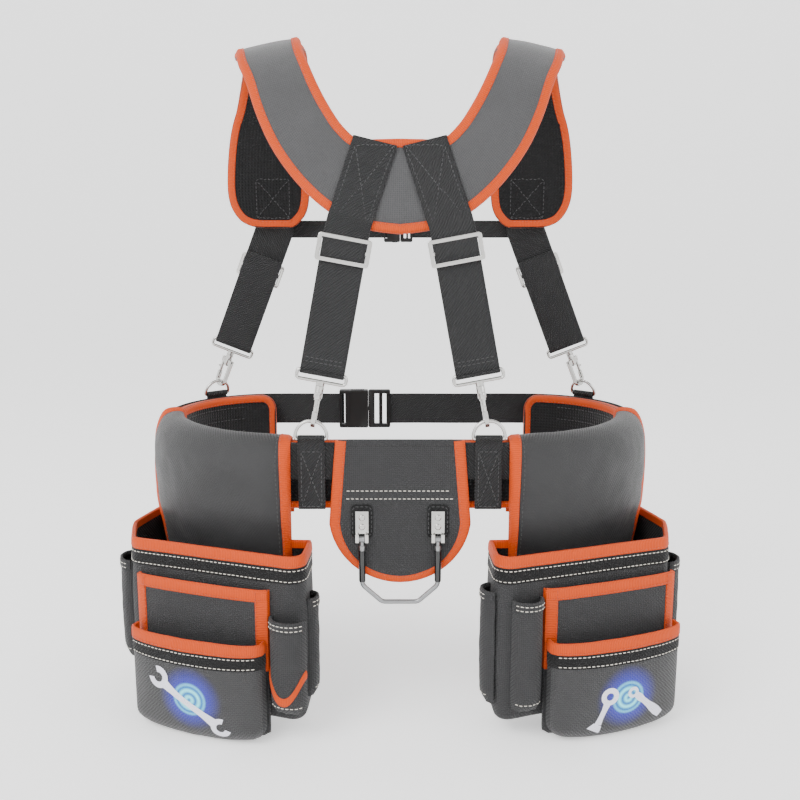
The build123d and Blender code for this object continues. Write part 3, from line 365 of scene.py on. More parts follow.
def printed_polyester(name, side):
    """The pocket's own cloth with a transfer print: a ringed disc of light in blue and cyan."""
    material, tree, shader = base(name, {"Roughness": 0.6, "Sheen Weight": 0.15,
                                         "Specular IOR Level": 0.35})
    cloth = dress(tree, shader, colours().cloth, 0.75, 1.22, plain_weave(tree, make().weave), 0.0004)
    middle, along = print_middle(side), turned(WALL_ALONG, side)
    away = vector_math(tree, "SUBTRACT", solid_place(tree), middle * MM).outputs["Vector"]
    run = vector_math(tree, "DOT_PRODUCT", away, along)
    rise = vector_math(tree, "DOT_PRODUCT", away, UP)
    flat = add(tree, "ShaderNodeCombineXYZ", None, {"X": run.outputs["Value"], "Y": rise.outputs["Value"]})
    radius = vector_math(tree, "LENGTH", flat.outputs[0]).outputs["Value"]
    glow = fade(tree, radius, 0.013, 0.036, 0.92)
    disc = fade(tree, radius, 0.014, 0.019, 1.0)
    rings = add(tree, "ShaderNodeTexWave", {"wave_type": "RINGS", "rings_direction": "SPHERICAL",
                                            "Scale": pi / 10 / 0.0068, "Distortion": 1.2,
                                            "Detail": 2.0, "Detail Scale": 60.0},
                {"Vector": flat.outputs[0]}).outputs["Fac"]
    light = mixed(tree, "RGBA", rings, hex_colour("#0E6FB8"), hex_colour("#7DF2FF"))
    blue = mixed(tree, "RGBA", glow, cloth, hex_colour("#2B2FB0"))
    tint = mixed(tree, "RGBA", disc, blue, light)
    tree.links.new(tint, shader.inputs["Base Color"])
    return material


MATERIALS = {}


def material(key):
    """One shared material for each finish, made when it is first asked for."""
    if key not in MATERIALS:
        tint = colours()
        makers = {
            "cloth": lambda: woven_polyester("woven_polyester_grey", tint.cloth),
            "pad": lambda: padded_polyester("padded_polyester_grey", scaled(tint.cloth, 0.75)),
            "heather": lambda: heather_polyester("heather_polyester_twill", tint.heather),
            "lining": lambda: woven_polyester("woven_polyester_black", tint.lining, 0.6, 1.6),
            "mesh": lambda: spacer_mesh("knitted_spacer_mesh", tint.mesh),
            "mesh_black": lambda: spacer_mesh("knitted_spacer_mesh_black", tint.lining),
            "tape": lambda: grosgrain("grosgrain_tape_orange", tint.tape),
            "webbing": lambda: twill_webbing("polypropylene_webbing_black", tint.webbing),
            "thread": lambda: twisted_thread("bonded_thread_light", tint.thread),
            "thread_black": lambda: twisted_thread("bonded_thread_black", hex_colour("#2C2C2E")),
            "thread_orange": lambda: twisted_thread("bonded_thread_orange", scaled(tint.tape, 0.8)),
            "nickel": lambda: bright_nickel("bright_nickel_plate", tint.plating),
            "steel": lambda: bright_nickel("drawn_steel_wire", hex_colour("#8E8F90"), 0.26),
            "acetal": lambda: moulded_acetal("moulded_acetal_black", tint.acetal),
            "vinyl": lambda: dipped_vinyl("dipped_vinyl_black", hex_colour("#0B0C0D")),
            "ink": lambda: woven_polyester("transfer_print_pale", hex_colour("#E9E8F4"), 0.93, 1.03),
            "print_left": lambda: printed_polyester("printed_polyester_left", "left"),
            "print_right": lambda: printed_polyester("printed_polyester_right", "right"),
        }
        MATERIALS[key] = makers[key]()
    return MATERIALS[key]


# ---------------------------------------------------------------- lines and frames
def turned(vector, side):
    """A point or direction of the right side, carried to the side it is for."""
    return Vector((SIDES[side] * vector[0], vector[1], vector[2]))


def lengths(points, closed=False):
    """Distance along a line at each of its points, and at its end again where it closes."""
    run = [0.0]
    ends = list(points[1:]) + ([points[0]] if closed else [])
    for before, after in zip(points, ends):
        run.append(run[-1] + (after - before).length)
    return run


def resample(points, step, closed=False):
    """The same line with points about step apart."""
    run = lengths(points, closed)
    line = list(points) + ([points[0]] if closed else [])
    count = max(2, round(run[-1] / step))
    result, at = [], 0
    for k in range(count if closed else count + 1):
        target = run[-1] * k / count
        while at < len(run) - 2 and run[at + 1] < target:
            at += 1
        span = run[at + 1] - run[at]
        result.append(line[at].lerp(line[at + 1], (target - run[at]) / span if span else 0.0))
    return result


def resample_like(line, values, places):
    """Values given at a line's points, taken at other places on the same line."""
    return [values[min(range(len(line)), key=lambda k: (line[k] - place).length_squared)]
            for place in places]


def grid_edge(rows):
    """The closed line round a grid of points."""
    return ([row[0] for row in rows] + rows[-1][1:-1] + [row[-1] for row in reversed(rows)]
            + list(reversed(rows[0][1:-1])))


def cross_box(corners):
    """The lines of a sewn box with a cross in it."""
    return [list(corners) + [corners[0]], [corners[0], corners[2]], [corners[1], corners[3]]]


def rounded(corners, radius, closed=True, step=3.0):
    """Points about step apart along straight runs joined by arcs."""
    line, count = [], len(corners)
    for i, corner in enumerate(corners):
        here = Vector(corner)
        if not closed and i in (0, count - 1):
            line.append(here)
            continue
        back = Vector(corners[i - 1]) - here
        ahead = Vector(corners[(i + 1) % count]) - here
        half = back.angle(ahead) / 2
        reach = min(radius / tan(half), 0.45 * back.length, 0.45 * ahead.length)
        bend = reach * tan(half)
        middle = here + (back.normalized() + ahead.normalized()).normalized() * bend / sin(half)
        first = here + back.normalized() * reach - middle
        last = here + ahead.normalized() * reach - middle
        sweep = pi - 2 * half
        for k in range(9):
            share = k / 8
            turned_arm = first * sin((1 - share) * sweep) + last * sin(share * sweep)
            line.append(middle + turned_arm / sin(sweep))
    return resample(line, step, closed)


def curved(points, count):
    """A smooth line through a few points."""
    line = [Vector(p) for p in points]
    result = []
    for k in range(count + 1):
        place = k / count * (len(line) - 1)
        i = min(int(place), len(line) - 2)
        t = place - i
        p0, p1, p2 = line[max(i - 1, 0)], line[i], line[i + 1]
        p3 = line[min(i + 2, len(line) - 1)]
        result.append(0.5 * (2 * p1 + (p2 - p0) * t + (2 * p0 - 5 * p1 + 4 * p2 - p3) * t * t
                             + (3 * p1 - p0 - 3 * p2 + p3) * t * t * t))
    return result


def frames(points, normals, closed=False):
    """Point, sideways and outward direction at each point of a line on a surface."""
    result, count = [], len(points)
    for i in range(count):
        before = points[i - 1] if i or closed else points[i]
        after = points[(i + 1) % count] if closed or i < count - 1 else points[i]
        along = (after - before).normalized()
        sideways = along.cross(normals[i]).normalized()
        result.append((points[i], sideways, sideways.cross(along).normalized()))
    return result


def belt(s, out=0.0, z=0.0):
    """Point and outward normal s along the belt from the middle of the wearer's back."""
    side = -1 if s < 0 else 1
    s = abs(s)
    if s < HIP_X:
        foot, normal = (s, HIP_Y - HIP_RADIUS), (0, -1)
    elif s < FRONT_START:
        turn = (s - HIP_X) / HIP_RADIUS
        normal = (sin(turn), -cos(turn))
        foot = (HIP_X + HIP_RADIUS * normal[0], HIP_Y + HIP_RADIUS * normal[1])
    elif s < BELT_END:
        turn = (s - FRONT_START) / FRONT_RADIUS
        normal = (cos(turn), sin(turn))
        foot = (FRONT_X + FRONT_RADIUS * normal[0], HIP_Y + FRONT_RADIUS * normal[1])
    else:
        normal = (0, 1)
        foot = (FRONT_X - (s - BELT_END), HIP_Y + FRONT_RADIUS)
    normal = Vector((side * normal[0], normal[1], 0))
    return Vector((side * foot[0], foot[1], z)) + normal * out, normal


def wrinkle(point, size=26.0):
    """A soft unevenness between -1 and 1 that is the same each time."""
    return noise.noise(point / size) + 0.4 * noise.noise(point / size * 2.7)


# ---------------------------------------------------------------- making one piece
def linked(name, data):
    """A new object with this data, in the scene."""
    obj = bpy.data.objects.new(name, data)
    bpy.context.scene.collection.objects.link(obj)
    return obj


class Piece:
    """Collects the surfaces of one piece, in millimetres, and makes an object of them."""

    def __init__(self, name):
        self.name = name
        self.bm = bmesh.new()
        self.uv = self.bm.loops.layers.uv.new("UVMap")
        self.keys = []

    def index(self, key):
        if key not in self.keys:
            self.keys.append(key)
        return self.keys.index(key)

    def lattice(self, rows, key, wrap_rows=False, wrap_columns=False, caps=False):
        """Quads between rows of points. Its UVs are real metres, along and across."""
        slot = self.index(key)
        verts = [[self.bm.verts.new(p * MM) for p in row] for row in rows]
        n, m = len(rows), len(rows[0])
        middle = m // 2
        along = lengths([row[middle] for row in rows], wrap_rows)
        across = [lengths(row, wrap_columns) for row in rows]
        for i in range(n if wrap_rows else n - 1):
            for j in range(m if wrap_columns else m - 1):
                corners = ((i, j), (i, j + 1), (i + 1, j + 1), (i + 1, j))
                places = [verts[a % n][b % m] for a, b in corners]
                if len(set(places)) < 4:
                    continue
                face = self.bm.faces.new(places)
                face.material_index = slot
                face.smooth = True
                for loop, (a, b) in zip(face.loops, corners):
                    run = across[a % n]
                    loop[self.uv].uv = (along[a] * MM, (run[b] - run[-1] / 2) * MM)
        if caps:
            for row in (verts[0], verts[-1]):
                face = self.bm.faces.new(row)
                face.material_index = slot
                for loop in face.loops:
                    loop[self.uv].uv = (loop.vert.co.x + loop.vert.co.y, loop.vert.co.z)
        return verts

    def sweep(self, line, section, key, closed=False):
        """A closed section carried along frames; section points are sideways and outward."""
        rows = [[p + side * a + out * b for a, b in section] for p, side, out in line]
        self.lattice(rows, key, closed, True, not closed)

    def ribbon(self, line, width, thickness, key):
        """Flat webbing with rounded edges, its UVs centred on its width."""
        edge = thickness / 2
        half = width / 2
        section = [(half - edge * 0.4, edge * 0.8), (half, 0), (half - edge * 0.4, -edge * 0.8)]
        steps = 6
        top = [(-half + 2 + (2 * half - 4) * k / steps, edge) for k in range(steps + 1)]
        mirrored = [(-a, -b) for a, b in section]
        bottom = [(-a, -b) for a, b in top]
        self.sweep(line, top + section + bottom + mirrored, key)

    def stitches(self, points, normals, key="thread", closed=False):
        """Short raised dashes of thread along a line on a surface."""
        size = make()
        radius, length, gap = size.thread / MM, size.stitch / MM, size.stitch_gap / MM
        slot = self.index(key)
        run = lengths(points, closed)
        line = list(points) + ([points[0]] if closed else [])
        outs = list(normals) + ([normals[0]] if closed else [])

        def spot(distance):
            i = 0
            low, high = 0, len(run) - 2
            while low <= high:
                i = (low + high) // 2
                if run[i + 1] < distance:
                    low = i + 1
                elif run[i] > distance:
                    high = i - 1
                else:
                    break
            span = run[i + 1] - run[i]
            t = (distance - run[i]) / span if span else 0.0
            return line[i].lerp(line[i + 1], t), outs[i].lerp(outs[i + 1], t).normalized()

        for k in range(int(run[-1] / (length + gap))):
            start = k * (length + gap) + gap / 2
            rings = []
            for share, swell in ((0, 0.35), (0.2, 1.0), (0.8, 1.0), (1, 0.35)):
                point, out = spot(start + share * length)
                ahead, _ = spot(min(start + share * length + 0.5, run[-1]))
                along = ahead - point
                if along.length < 1e-6:
                    along = point - spot(start + share * length - 0.5)[0]
                side = along.cross(out).normalized()
                point = point - out * (0.4 * radius * (1 - swell))
                rings.append([self.bm.verts.new((point + side * (cos(a) * radius * swell)
                                                 + out * (sin(a) * radius * swell)) * MM)
                              for a in (0, 1.05, 2.09, 3.14, 4.19, 5.24)])
            for one, two in zip(rings, rings[1:]):
                for j in range(6):
                    face = self.bm.faces.new((one[j], one[(j + 1) % 6], two[(j + 1) % 6], two[j]))
                    face.material_index = slot
                    face.smooth = True
            for ring in (rings[0], rings[-1]):
                self.bm.faces.new(ring).material_index = slot

    def tape(self, points, normals, inwards, width, front, back, key="tape", closed=True):
        """Folded tape bound round an edge; front and back are its heights over the edge line."""
        shape = ((width, front - 0.8), (width - 0.5, front), (width * 0.6, front + 0.3),
                 (width * 0.3, front + 0.3), (0.5, front * 0.75), (-0.4, (front - back) / 2),
                 (0.5, -back * 0.75), (width * 0.3, -back - 0.3), (width * 0.6, -back - 0.3),
                 (width - 0.5, -back), (width, -back + 0.8))
        rows = []
        for p, out, inward in zip(points, normals, inwards):
            rows.append([p + inward * a + out * b for a, b in shape])
        self.lattice(rows, key, closed, True, not closed)

    def done(self, body, replaces=()):
        """Make the object, with its materials, and let it ride on its body."""
        bmesh.ops.remove_doubles(self.bm, verts=self.bm.verts, dist=2e-6)
        bmesh.ops.recalc_face_normals(self.bm, faces=self.bm.faces)
        mesh = bpy.data.meshes.new(self.name)
        self.bm.to_mesh(mesh)
        self.bm.free()
        for key in self.keys:
            mesh.materials.append(material(key))
        mesh.set_sharp_from_angle(angle=radians(SMOOTH_ANGLE))
        obj = linked(self.name, mesh)
        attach(obj, body)
        if replaces:
            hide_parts(*replaces)
        return obj


def metal_piece(name, node, body, key, bevel):
    """A fitting of the frame with its edges eased, as moulding, casting or tumbling leaves them."""
    bm = bmesh.new()
    bm.from_mesh(frame["nodes"][node].data)
    bmesh.ops.remove_doubles(bm, verts=bm.verts, dist=1e-6)
    bmesh.ops.dissolve_limit(bm, angle_limit=radians(1.5), verts=bm.verts, edges=bm.edges)
    mesh = bpy.data.meshes.new(name)
    bm.to_mesh(mesh)
    bm.free()
    mesh.materials.clear()
    mesh.materials.append(material(key))
    obj = linked(name, mesh)
    modifier = obj.modifiers.new("Ease", "BEVEL")
    modifier.width, modifier.segments = bevel * MM, 2
    modifier.limit_method, modifier.angle_limit = "ANGLE", radians(35)
    modifier.use_clamp_overlap = True
    bpy.context.view_layer.update()
    shaped = bpy.data.meshes.new_from_object(obj.evaluated_get(bpy.context.evaluated_depsgraph_get()))
    obj.modifiers.clear()
    obj.data = shaped
    for polygon in shaped.polygons:
        polygon.use_smooth = True
    shaped.set_sharp_from_angle(angle=radians(METAL_ANGLE))
    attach(obj, body)
    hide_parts(node)


def dress_node(node, key):
    """Give a fitting that keeps its own mesh a better finish."""
    obj = frame["nodes"][node]
    if not obj.material_slots:
        obj.data.materials.append(None)
    for place in obj.material_slots:
        place.material = material(key)


def inwards(points, normals, toward, closed=False):
    """Directions along the cloth, square to its edge, on the side of the point given."""
    sideways = [side for _, side, _ in frames(points, normals, closed)]
    sign = 1 if (toward - points[0]).dot(sideways[0]) > 0 else -1
    return [side * sign for side in sideways]


def quilt(piece, points, normals, front, back, key, back_key=None):
    """Closed pad between two grids; front and back give its half thickness by row and column."""
    outer = [[p + n * front(i, j) for j, (p, n) in enumerate(zip(prow, nrow))]
             for i, (prow, nrow) in enumerate(zip(points, normals))]
    inner = [[p - n * back(i, j) for j, (p, n) in enumerate(zip(prow, nrow))]
             for i, (prow, nrow) in enumerate(zip(points, normals))]
    piece.lattice(outer, key)
    piece.lattice(inner, back_key or key)
    for one, two in ((outer[0], inner[0]), (outer[-1], inner[-1])):
        piece.lattice([one, two], key)
    for column in (0, -1):
        piece.lattice([[row[column] for row in outer], [row[column] for row in inner]], key)


def bound_edge(name, points, normals, toward, width, heights, seam, lifts, replaces):
    """Tape bound round a pad's whole edge and sewn through, with a seam on each face."""
    edge = grid_edge(points)
    line = resample(edge, 4.0, True)
    outs = resample_like(edge, grid_edge(normals), line)
    ways = inwards(line, outs, line[0] + UP if toward is None else toward, True)
    bound = Piece(name)
    bound.tape(line, outs, ways, width, *heights)
    for sign, lift in zip((1, -1), lifts):
        bound.stitches([p + w * seam + n * (sign * lift) for p, w, n in zip(line, ways, outs)],
                       [n * sign for n in outs], "thread_orange", True)
    bound.done("harness", [replaces])


def crown(share, edge):
    """How full a pad stands, from its edge at 0 and 1 to its middle."""
    near = min(share, 1 - share) / edge
    return 1.0 if near >= 1 else sqrt(max(1 - (1 - near) ** 2, 0))


# ---------------------------------------------------------------- padded belt
def belt_half(s):
    """Half the pad's height, less at the rounded corners of its ends."""
    left = max(BELT_END - abs(s), 0)
    if left >= PAD_CORNER:
        return PAD_HEIGHT / 2
    return PAD_HEIGHT / 2 - PAD_CORNER + sqrt(max(PAD_CORNER ** 2 - (PAD_CORNER - left) ** 2, 0))


def belt_grid(columns):
    near = [PAD_CORNER * (1 - cos(k / 8 * pi / 2)) for k in range(8)]
    flat = BELT_END - PAD_CORNER
    count = 240
    stations = ([-BELT_END + d for d in near]
                + [-flat + 2 * flat * k / count for k in range(count + 1)]
                + [BELT_END - d for d in reversed(near)])
    points, normals = [], []
    for s in stations:
        half = belt_half(s)
        row = [belt(s, -PAD_THICKNESS / 2, half * (2 * k / columns - 1)) for k in range(columns + 1)]
        points.append([p for p, _ in row])
        normals.append([n for _, n in row])
    return points, normals


class BELT_OT_padded_belt(bpy.types.Operator):
    """Foam belt faced with spacer mesh, and the tape bound round its edge"""

    bl_idname = "belt.padded_belt"
    bl_label = "Padded belt"

    def execute(self, context):
        columns = 16
        points, normals = belt_grid(columns)
        soft = make().wrinkle / MM * 0.5

        def full(i, j):
            return 5.6 * (0.55 + 0.45 * crown(j / columns, 0.3)) + soft * wrinkle(points[i][j]) * 0.5

        pad = Piece("padded_belt_cloth")
        quilt(pad, points, normals, full, full, "mesh_black", "mesh")
        rows = range(14, len(points) - 14)
        for height in (-22.0, -7.5, 7.5, 22.0):
            line = [points[i][0].lerp(points[i][-1], height / PAD_HEIGHT + 0.5) for i in rows]
            outs = [-normals[i][0] for i in rows]
            pad.stitches([p + n * 5.9 for p, n in zip(line, outs)], outs, "thread_black")
        obj = pad.done("harness", ["padded_belt"])
        bound_edge("belt_tape", points, normals, None, 8.0, (6.2, 6.2), 6.4, (6.5, 6.5), "belt_binding")
        return {"FINISHED"}


class BELT_OT_waist_webbing(bpy.types.Operator):
    """Webbing that runs round the belt and into both halves of the buckle"""

    bl_idname = "belt.waist_webbing"
    bl_label = "Waist webbing"

    def execute(self, context):
        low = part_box("waist_buckle_socket")[0].x / MM
        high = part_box("waist_buckle_plug")[1].x / MM
        start = -(BELT_END + FRONT_X + low) - 6
        end = BELT_END + FRONT_X - high + 5
        count = 330
        line = []
        for k in range(count + 1):
            s = start + (end - start) * k / count
            free = max(abs(s) - BELT_END, 0)
            wave = 0.5 * sin(free / 17) if free else 0.0
            line.append(belt(s, WEB_OFF + wave, WEB_MIDDLE))
        web = Piece("waist_webbing_strip")
        web.ribbon(frames([p for p, _ in line], [n for _, n in line]), WEB_WIDTH, 1.9, "webbing")
        obj = web.done("harness", ["waist_webbing"])
        return {"FINISHED"}


# ---------------------------------------------------------------- rings, hooks and sliders
def facing(vector, part):
    """The direction or its opposite, whichever points away from the wearer."""
    return -vector if vector.y * (-1 if part == "back" else 1) < 0 else vector


class Place:
    """One ring, hook and strap, from the frame's own joints."""

    def __init__(self, part, side):
        swivel = JOINTS[f"{part}_hook_{side}_swivel"]
        tilt = JOINTS[f"{part}_ring_{side}_tilt"]
        self.part, self.side = part, side
        self.hook = Vector(swivel["pos_m"]) / MM
        self.pull = Vector(swivel["axis"]).normalized()
        self.bar = Vector(tilt["pos_m"]) / MM
        self.along = Vector(tilt["axis"]).normalized()
        self.outward = facing(self.along.cross(UP), part)
        level = Vector((1, 0, 0))
        self.across = (level - self.pull * level.dot(self.pull)).normalized()
        self.out = facing(self.pull.cross(self.across), part)

    def on_strap(self, height, lift):
        return self.hook + self.pull * height + self.out * lift


PLACES = [Place(part, side) for part in ("back", "front") for side in SIDES]


class BELT_OT_ring_loops(bpy.types.Operator):
    """Webbing tabs sewn to the belt, each folded round the bar of its ring"""

    bl_idname = "belt.ring_loops"
    bl_label = "Ring loops"

    def execute(self, context):
        for part in ("back", "front"):
            tabs = Piece(f"{part}_loop_webbing")
            for place in (p for p in PLACES if p.part == part):
                foot = place.bar - place.outward * LOOP_OFF
                foot.z = 0
                bar_z = place.bar.z
                line, outs = [], []
                for k in range(20):
                    height = -33 + (bar_z + 31) * k / 19
                    line.append(foot + place.outward * LOOP_OFF + Vector((0, 0, height)))
                    outs.append(place.outward)
                for k in range(1, 13):
                    turn = radians(215 * k / 12)
                    out = place.outward * cos(turn) + Vector((0, 0, sin(turn)))
                    line.append(place.bar + out * 2.85)
                    outs.append(out)
                tabs.ribbon(frames(line, outs), LOOP_WIDTH, 1.8, "webbing")
                for path in cross_box([(-10, -30), (10, -30), (10, 26), (-10, 26)]):
                    spots = resample([foot + place.outward * (LOOP_OFF + 1.05) + place.along * a
                                      + Vector((0, 0, z)) for a, z in path], 3.0)
                    tabs.stitches(spots, [place.outward] * len(spots), "thread_black")
            tabs.done("harness", [f"{part}_ring_loops"])
        return {"FINISHED"}


class BELT_OT_fittings(bpy.types.Operator):
    """Plated rings, snap hooks, bolts, eyes and sliders"""

    bl_idname = "belt.fittings"
    bl_label = "Metal fittings"

    def execute(self, context):
        dress_node("swivel_eyes", "nickel")
        for place in PLACES:
            dress_node(f"{place.part}_ring_{place.side}", "nickel")
            for kind, made, ease in (("hook", "cast", 0.7), ("bolt", "turned", 0.35),
                                     ("slider", "pressed", 0.6)):
                node = f"{place.part}_{kind}_{place.side}"
                metal_piece(f"{node}_{made}", node, node, "nickel", ease)
        return {"FINISHED"}


class BELT_OT_buckles(bpy.types.Operator):
    """Moulded side release buckles of the waist and chest straps"""

    bl_idname = "belt.buckles"
    bl_label = "Buckles"

    def execute(self, context):
        for prefix, ease in (("waist", 0.8), ("chest", 0.5)):
            for node in (f"{prefix}_buckle_socket", f"{prefix}_buckle_plug"):
                metal_piece(node + "_moulded", node, "harness", "acetal", ease)
            for level, sign in (("upper", 1), ("lower", -1)):
                node = f"{prefix}_prong_{level}"
                metal_piece(node + "_moulded", node, node, "acetal", ease)
                low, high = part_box(node)
                grip = Piece(f"{node}_grip")
                edge = high.z if sign > 0 else low.z
                middle_y = (low.y + high.y) / 2 / MM
                reach = (high.x - low.x) / MM
                for k in range(4):
                    x = low.x / MM + reach * (0.30 + 0.12 * k)
                    line = [Vector((x, middle_y + d, edge / MM + sign * 0.05))
                            for d in (-2.2, -1.1, 0, 1.1, 2.2)]
                    section = [(0.45 * cos(a * pi / 4), 0.45 * sin(a * pi / 4)) for a in range(8)]
                    grip.sweep(frames(line, [UP * sign] * 5), section, "acetal")
                grip.done(node)
        return {"FINISHED"}


# ---------------------------------------------------------------- shoulder yoke
YOKE_LINE = rounded(((-127, 228, 0), (-88, 450, 0), (64, 450, 0), (74, 235, 0)), 70, False, 2.0)
YOKE_RUN = lengths(YOKE_LINE)
SHOULDER_DROP = 0.2
YOKE_CREST = YOKE_RUN[-1] * 0.508


def yoke(x, t):
    """Point and outward normal where the pad meets its lining, t along the shoulder line."""
    t = min(max(t, 0.0), YOKE_RUN[-1] - 0.01)
    i = min(int(t / YOKE_RUN[-1] * (len(YOKE_LINE) - 1)), len(YOKE_LINE) - 2)
    share = (t - YOKE_RUN[i]) / (YOKE_RUN[i + 1] - YOKE_RUN[i])
    here = YOKE_LINE[i].lerp(YOKE_LINE[i + 1], share)
    low, high = YOKE_LINE[max(i - 1, 0)], YOKE_LINE[min(i + 2, len(YOKE_LINE) - 1)]
    along = (high - low).normalized()
    side = 1 if x >= 0 else -1
    normal = Vector((side * SHOULDER_DROP * along.x * min(abs(x) / 20, 1), -along.y, along.x)).normalized()
    return Vector((x, here.x, here.y - SHOULDER_DROP * abs(x))), normal


def yoke_run(x, z, front=False):
    """Place along the shoulder line of a point at height z, on the back or the front."""
    height = z + SHOULDER_DROP * abs(x)
    order = range(len(YOKE_LINE))
    best = min((k for k in order if (YOKE_RUN[k] > YOKE_CREST) == front),
               key=lambda k: abs(YOKE_LINE[k].y - height))
    return YOKE_RUN[best]


BACK_OUTER = ((0, 237), (34, 243), (67, 258), (97, 284), (122, 315), (138, 348), (150, 382), (160, 402),
              (168, 416))
BACK_INNER = ((0, 328), (22, 328), (41, 328), (56, 341), (67, 357), (78, 375), (87, 394), (96, 414),
              (101, 428))
FRONT_OUTER = ((168, 414), (182, 378), (192, 350), (197, 320), (199, 290), (197.5, 272), (192.5, 259),
               (184, 249), (172, 242), (160, 240))
FRONT_INNER = ((101, 426), (102, 395), (103, 360), (104, 325), (105, 290), (106, 272), (109, 259),
               (115, 249), (125, 242), (140, 240))


def yoke_edges(back, front, top_x, count):
    line = [(x, yoke_run(x, z), 0) for x, z in back] + [(top_x, YOKE_CREST, 0)]
    line += [(x, yoke_run(x, z, True), 0) for x, z in front]
    return curved(line, count)


def yoke_grid(columns):
    """Rows from the left tip round the neck to the right tip, inner edge first."""
    count = 110
    inner = yoke_edges(BACK_INNER, FRONT_INNER, 104, count)
    outer = yoke_edges(BACK_OUTER, FRONT_OUTER, 172, count)
    points, normals = [], []
    for side in (-1, 1):
        order = range(count, 0, -1) if side < 0 else range(count + 1)
        for i in order:
            row = []
            for j in range(columns + 1):
                spot = inner[i].lerp(outer[i], j / columns)
                row.append(yoke(side * max(spot.x, 0), spot.y))
            points.append([p for p, _ in row])
            normals.append([n for _, n in row])
    return points, normals


class BELT_OT_yoke(bpy.types.Operator):
    """Padded shoulder yoke with its mesh lining and bound edge"""

    bl_idname = "belt.yoke"
    bl_label = "Shoulder yoke"

    def execute(self, context):
        columns = 14
        points, normals = yoke_grid(columns)
        soft = make().wrinkle / MM

        def full(i, j):
            ends = min(i, len(points) - 1 - i) / 10
            rise = min(crown(j / columns, 0.40), crown(min(ends, 1) / 2, 0.5))
            return 6.3 * (0.50 + 0.50 * rise) + soft * 0.55 * rise * wrinkle(points[i][j], 34)

        pad = Piece("yoke_pad_cloth")
        quilt(pad, points, normals, full, lambda i, j: -0.1, "heather")
        obj = pad.done("harness", ["yoke_pad"])

        lining = Piece("yoke_mesh_lining")
        quilt(lining, points, normals, lambda i, j: 0.0,
              lambda i, j: 1.2 + 0.9 * crown(j / columns, 0.2), "mesh_black")
        for side in (-1, 1):
            corners = [(side * x, z) for x, z in ((128, 252), (166, 252), (166, 296), (128, 296))]
            for path in cross_box(corners):
                spots = resample([Vector((x, z, 0)) for x, z in path], 4.0)
                on = [yoke(s.x, yoke_run(s.x, s.y, True)) for s in spots]
                lining.stitches([p - n * 2.5 for p, n in on], [-n for _, n in on], "thread_black")
        lining.done("harness", ["yoke_lining"])
        bound_edge("yoke_tape", points, normals, points[0][1] * 0.5 + points[1][1] * 0.5, 9.0, (6.0, 2.3),
                   7.4, (6.35, 2.65), "yoke_binding")
        return {"FINISHED"}


# ---------------------------------------------------------------- straps
def strap_top(place):
    """Sewn end of a strap on the yoke, from its top down, with outward normals."""
    line, outs = [], []
    steps = 16
    for k in range(steps + 1):
        share = k / steps
        if place.part == "back":
            z = PATCH_TOP - 1 + (PATCH_BOTTOM + 8 - PATCH_TOP + 1) * share
            x = SIDES[place.side] * (PATCH_TOP_X + (PATCH_LOW_X - PATCH_TOP_X) * share)
            point, out = yoke(x, yoke_run(x, z))
            line.append(point + out * (7.6 + 0.7 * share))
            outs.append(out)
        else:
            line.append(Vector((SIDES[place.side] * 147, 82.7, 300 - 60 * share)))
            outs.append(AHEAD)
    return line, outs


def strap_line(place, slider_height):
    """The whole strap: sewn end, run to the eye, turn round its bar and back up behind."""
    line, outs = strap_top(place)
    top = (line[-1] - place.hook).dot(place.pull) - 6
    steps = 44
    for k in range(steps + 1):
        height = top + (BAR_HEIGHT - top) * k / steps
        line.append(place.on_strap(height, 1.1))
        outs.append(place.out)
    centre = place.on_strap(BAR_HEIGHT, 0)
    for k in range(1, 12):
        turn = pi * k / 12
        out = place.out * cos(turn) - place.pull * sin(turn)
        line.append(centre + out * (2.51 if k > 9 else 2.9))
        outs.append(out)
    for k in range(25):
        share = k / 24
        height = BAR_HEIGHT + 2 + (slider_height + 16 - BAR_HEIGHT) * share
        close = 2.6 - 1.3 * min(share * 5, 1)
        line.append(place.on_strap(height, -close))
        outs.append(-place.out)
    return line, outs


class BELT_OT_straps(bpy.types.Operator):
    """Shoulder straps of webbing, sewn to the yoke and looped through their eyes"""

    bl_idname = "belt.straps"
    bl_label = "Shoulder straps"

    def execute(self, context):
        for place in PLACES:
            name = f"{place.part}_strap_{place.side}"
            slider_height = SLIDER_HEIGHTS[place.part]
            line, outs = strap_line(place, slider_height)
            strap = Piece(name + "_webbing")
            strap.ribbon(frames(line, outs), STRAP_WIDTH, 1.8, "webbing")
            for height in (9, 13):
                start = place.on_strap(BAR_HEIGHT + height, 2.05)
                row = resample([start + place.across * a for a in (-19, 19)], 3.0)
                strap.stitches(row, [place.out] * len(row), "thread_black")
            if place.part == "back":
                side = SIDES[place.side]
                corners = [(side * (PATCH_LOW_X - 18), 246), (side * (PATCH_LOW_X + 18), 246),
                           (side * (PATCH_TOP_X + 19), 321), (side * (PATCH_TOP_X - 19), 321)]
                for path in cross_box(corners):
                    spots = resample([Vector((x, z, 0)) for x, z in path], 3.0)
                    on = [yoke(s.x, yoke_run(s.x, s.y)) for s in spots]
                    strap.stitches([p + n * 8.75 for p, n in on], [n for _, n in on], "thread_black")
            obj = strap.done("harness", [name])
            wrap = Piece(f"{place.part}_slider_{place.side}_webbing")
            line, outs = [], []
            for k in range(17):
                share = k / 16 * 2 - 1
                lift = 2.55 + 3.6 * max(cos(share * pi / 2), 0) ** 0.6
                line.append(place.on_strap(slider_height + 10.5 * share, lift))
                outs.append(place.out)
            wrap.ribbon(frames(line, outs), STRAP_WIDTH - 1.5, 1.3, "webbing")
            wrap.done(f"{place.part}_slider_{place.side}")
        return {"FINISHED"}


